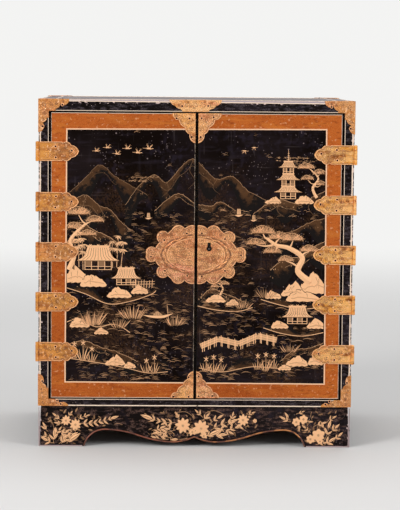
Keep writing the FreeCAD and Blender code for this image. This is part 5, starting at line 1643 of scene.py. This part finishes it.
corner_cuts = Inlay()
for hand in (-1, 1):
    for z, rise, board in ((CARCASS_TOP, -1, top_board), (CARCASS_FOOT, 1, bottom_board)):
        corner = Chisel(corner_cuts, hand * half_wide, z, -hand * 44, rise * 47.5)
        for u, v, radius in ((0.16, 0.16, 3.6), (0.40, 0.15, 2.8), (0.60, 0.12, 2.2),
                             (0.15, 0.42, 3.0), (0.13, 0.62, 2.4), (0.80, 0.08, 1.6),
                             (0.09, 0.82, 1.6)):
            share = board / top_board
            corner.scroll(u, v * share, radius * share, random.uniform(0, 6),
                          random.choice((-1, 1)))
centre = Chisel(corner_cuts, -2.2, CARCASS_TOP, 38, -top_board)
for u, radius in ((-0.62, 3.4), (-0.32, 4.4), (0.0, 4.6), (0.32, 4.4), (0.62, 3.4)):
    centre.scroll(u, 0.42, radius, random.uniform(0, 6), random.choice((-1, 1)), 4)
corner_cuts.laid("corner_mount_cuts", "cabinet", cut, moved(y=MOUNT_FACE), 0.2)

# ----------------------------------------------------------------------
# Backs of the doors
# The doors' inner faces are black lacquer inside a gold line, and each is painted in gold with a
# clump of garden flowers.
# ----------------------------------------------------------------------


def between(x_low, x_high, z_low, z_high):
    """A test for spots inside a rectangle."""
    return lambda x, z: x_low < x < x_high and z_low < z < z_high


def clump(spray, x, z, height, lean):
    """Tall flowering stems that fan out from one root."""
    flowers = 5
    for index in range(flowers):
        t = index / (flowers - 1) * 2 - 1
        tall = height * (1 - 0.35 * abs(t)) * random.uniform(0.85, 1.0)
        top = (x + t * height * 0.26 + lean * tall, z + tall)
        spray.twig((x + t * 4, z), top, -t * height * 0.06, 8, height * 0.085)
        for side in (-1, 1):
            fork = (x + (top[0] - x) * 0.6, z + tall * 0.6)
            spray.twig(fork, (fork[0] + side * height * 0.13, fork[1] + height * 0.17), side * 2, 3,
                       height * 0.06)
        spray.flower(*top, height * 0.062)
        spray.flower(x + (top[0] - x) * 0.72 + t * 9 + 3, z + tall * 0.70, height * 0.045)


random.seed(17)
for name, hand in (("left", 1), ("right", -1)):
    low, high = sorted((hand * (DOOR_INNER + 12), hand * (DOOR_OUTER - 12)))
    inside = between(low, high, DOOR_LOW + 12, DOOR_HIGH - 12)
    clear = between(-62, 62, 262, 326)
    spray = Spray(lambda x, z, inside=inside: inside(x, z) and not clear(x, z))
    clump(spray, hand * 118, 90, 300, -hand * 0.04)
    spray.laid(f"door_{name}_back", f"{name}_door", ONTO_DOOR_BACK)

# ----------------------------------------------------------------------
# Drawers and shelves
# Thin boards in brown-black lacquer. The drawer fronts are sprinkled with gold, lined and painted
# with small sprays, and each has a turned gilt knob on a round plate.
# ----------------------------------------------------------------------
DRAWER_FRONT, DRAWER_INNER, DRAWER_OUTER = -118.15, 6.6, 214.9
DRAWER_ROWS = ((406.5, 493.1), (303.7, 399.3), (191.9, 296.6), (71.2, 184.9))


def inner_lacquer():
    """Brown-black and a little dusty, with flakes of gold on the drawer fronts alone."""
    finish = Finish("inner_lacquer", Specular_IOR_Level=0.2)
    colour = finish.noise(12, 3).rise(0.4, 0.7).blend(
        (0.0090, 0.0050, 0.0042), (0.0200, 0.0115, 0.0085))
    front = finish.axis("Y").rise((DRAWER_FRONT + 0.8) * MM, (DRAWER_FRONT + 0.4) * MM)
    flakes = finish.noise(1300, 1).rise(0.56, 0.64) * finish.noise(20, 2).rise(0.30, 0.62)
    colour = (front * flakes * 0.8).blend(colour, (0.62, 0.28, 0.075))
    dust = finish.noise(60, 4).rise(0.52, 0.75) * 0.3
    return finish.feed(Base_Color=dust.blend(colour, (0.035, 0.024, 0.018)),
                       Roughness=finish.noise(30, 3) * 0.3 + 0.22,
                       Normal=finish.bump(finish.noise(60, 2), 0.05, 0.001))


dress(inner_lacquer(), "dust_boards", "centre_partition",
      *(f"drawer_{side}_{number}" for side, _ in SIDES for number in range(1, 5)))
dress(mount_gilt, *(f"drawer_knob_{side}_{number}" for side, _ in SIDES for number in range(1, 5)))
ONTO_DRAWERS = moved(y=DRAWER_FRONT)
for name, hand in SIDES:
    for number, (z_low, z_high) in enumerate(DRAWER_ROWS, 1):
        low, high = sorted((hand * DRAWER_INNER, hand * DRAWER_OUTER))
        lines = Inlay()
        framed(lines, low, high, z_low, z_high, 1.1, 0.7)
        framed(lines, low + 5, high - 5, z_low + 5, z_high - 5, 0.7, 0.5)
        piece = lines.laid(f"drawer_{name}_{number}_lines", f"{name}_drawer_{number}", line_gold,
                           ONTO_DRAWERS)
        knob = ((low + high) / 2, (z_low + z_high) / 2)
        frame_test = between(low + 7, high - 7, z_low + 7, z_high - 7)
        spray = Spray(lambda x, z, knob=knob, test=frame_test:
                      test(x, z) and math.hypot(x - knob[0], z - knob[1]) > 12)
        tall = z_high - z_low
        way = hand if number % 2 else -hand
        root = (knob[0] - way * 84, z_low + 9)
        for reach, rise, sag in ((70, 0.55, 6), (40, 0.78, 4), (96, 0.28, 5), (150, 0.62, 12),
                                 (168, 0.34, -6)):
            tip = (root[0] + way * reach, z_low + tall * rise)
            spray.twig(root, tip, -sag * way, max(int(reach / 14), 3), 9)
            spray.flower(*tip, random.uniform(5.5, 8))
        spray.laid(f"drawer_{name}_{number}", f"{name}_drawer_{number}", ONTO_DRAWERS)

# ----------------------------------------------------------------------
# Bare wood of the stand
# The deck that the carcass rests on and the blocks glued into the stand's corners are planed
# softwood, darkened by age and never lacquered.
# ----------------------------------------------------------------------
wood = Finish("bare_wood", Specular_IOR_Level=0.25)
grain = wood.noise(16, 4, wood.stretched((0.6, 9, 9)), 0.6)
rings = wood.noise(5, 2, wood.stretched((0.5, 7, 7))) * 14
rings = rings.maths("PINGPONG", rings, 1.0)
tint = (rings * 0.6 + grain * 0.4).blend((0.270, 0.150, 0.072), (0.130, 0.062, 0.028))
wood.feed(Base_Color=(wood.noise(40, 3).rise(0.5, 0.72) * 0.4).blend(tint, (0.070, 0.036, 0.020)),
          Roughness=grain * 0.2 + 0.6, Normal=wood.bump(rings * 0.5 + grain, 0.25, 0.0006))
dress(wood.material, "stand_deck", "stand_glue_blocks")

# ----------------------------------------------------------------------
# Sides and top of the carcass
# Plain black panels inside their gold lines, each side with one flowering clump. The back is
# left undecorated, as it stands against a wall.
# ----------------------------------------------------------------------
random.seed(29)
for name, onto, hand, low, high in (("left", ONTO_LEFT, 1, -BACK, -FRONT),
                                    ("right", ONTO_RIGHT, -1, FRONT, BACK)):
    hinges_clear = 66
    x_low, x_high = (low + 26, high - hinges_clear) if hand > 0 else (low + hinges_clear, high - 26)
    spray = Spray(between(x_low, x_high, CARCASS_FOOT + 26, CARCASS_TOP - 40))
    clump(spray, (x_low + x_high) / 2 - hand * 20, CARCASS_FOOT + 30, 300, hand * 0.06)
    spray.laid(f"carcass_{name}", "cabinet", onto)
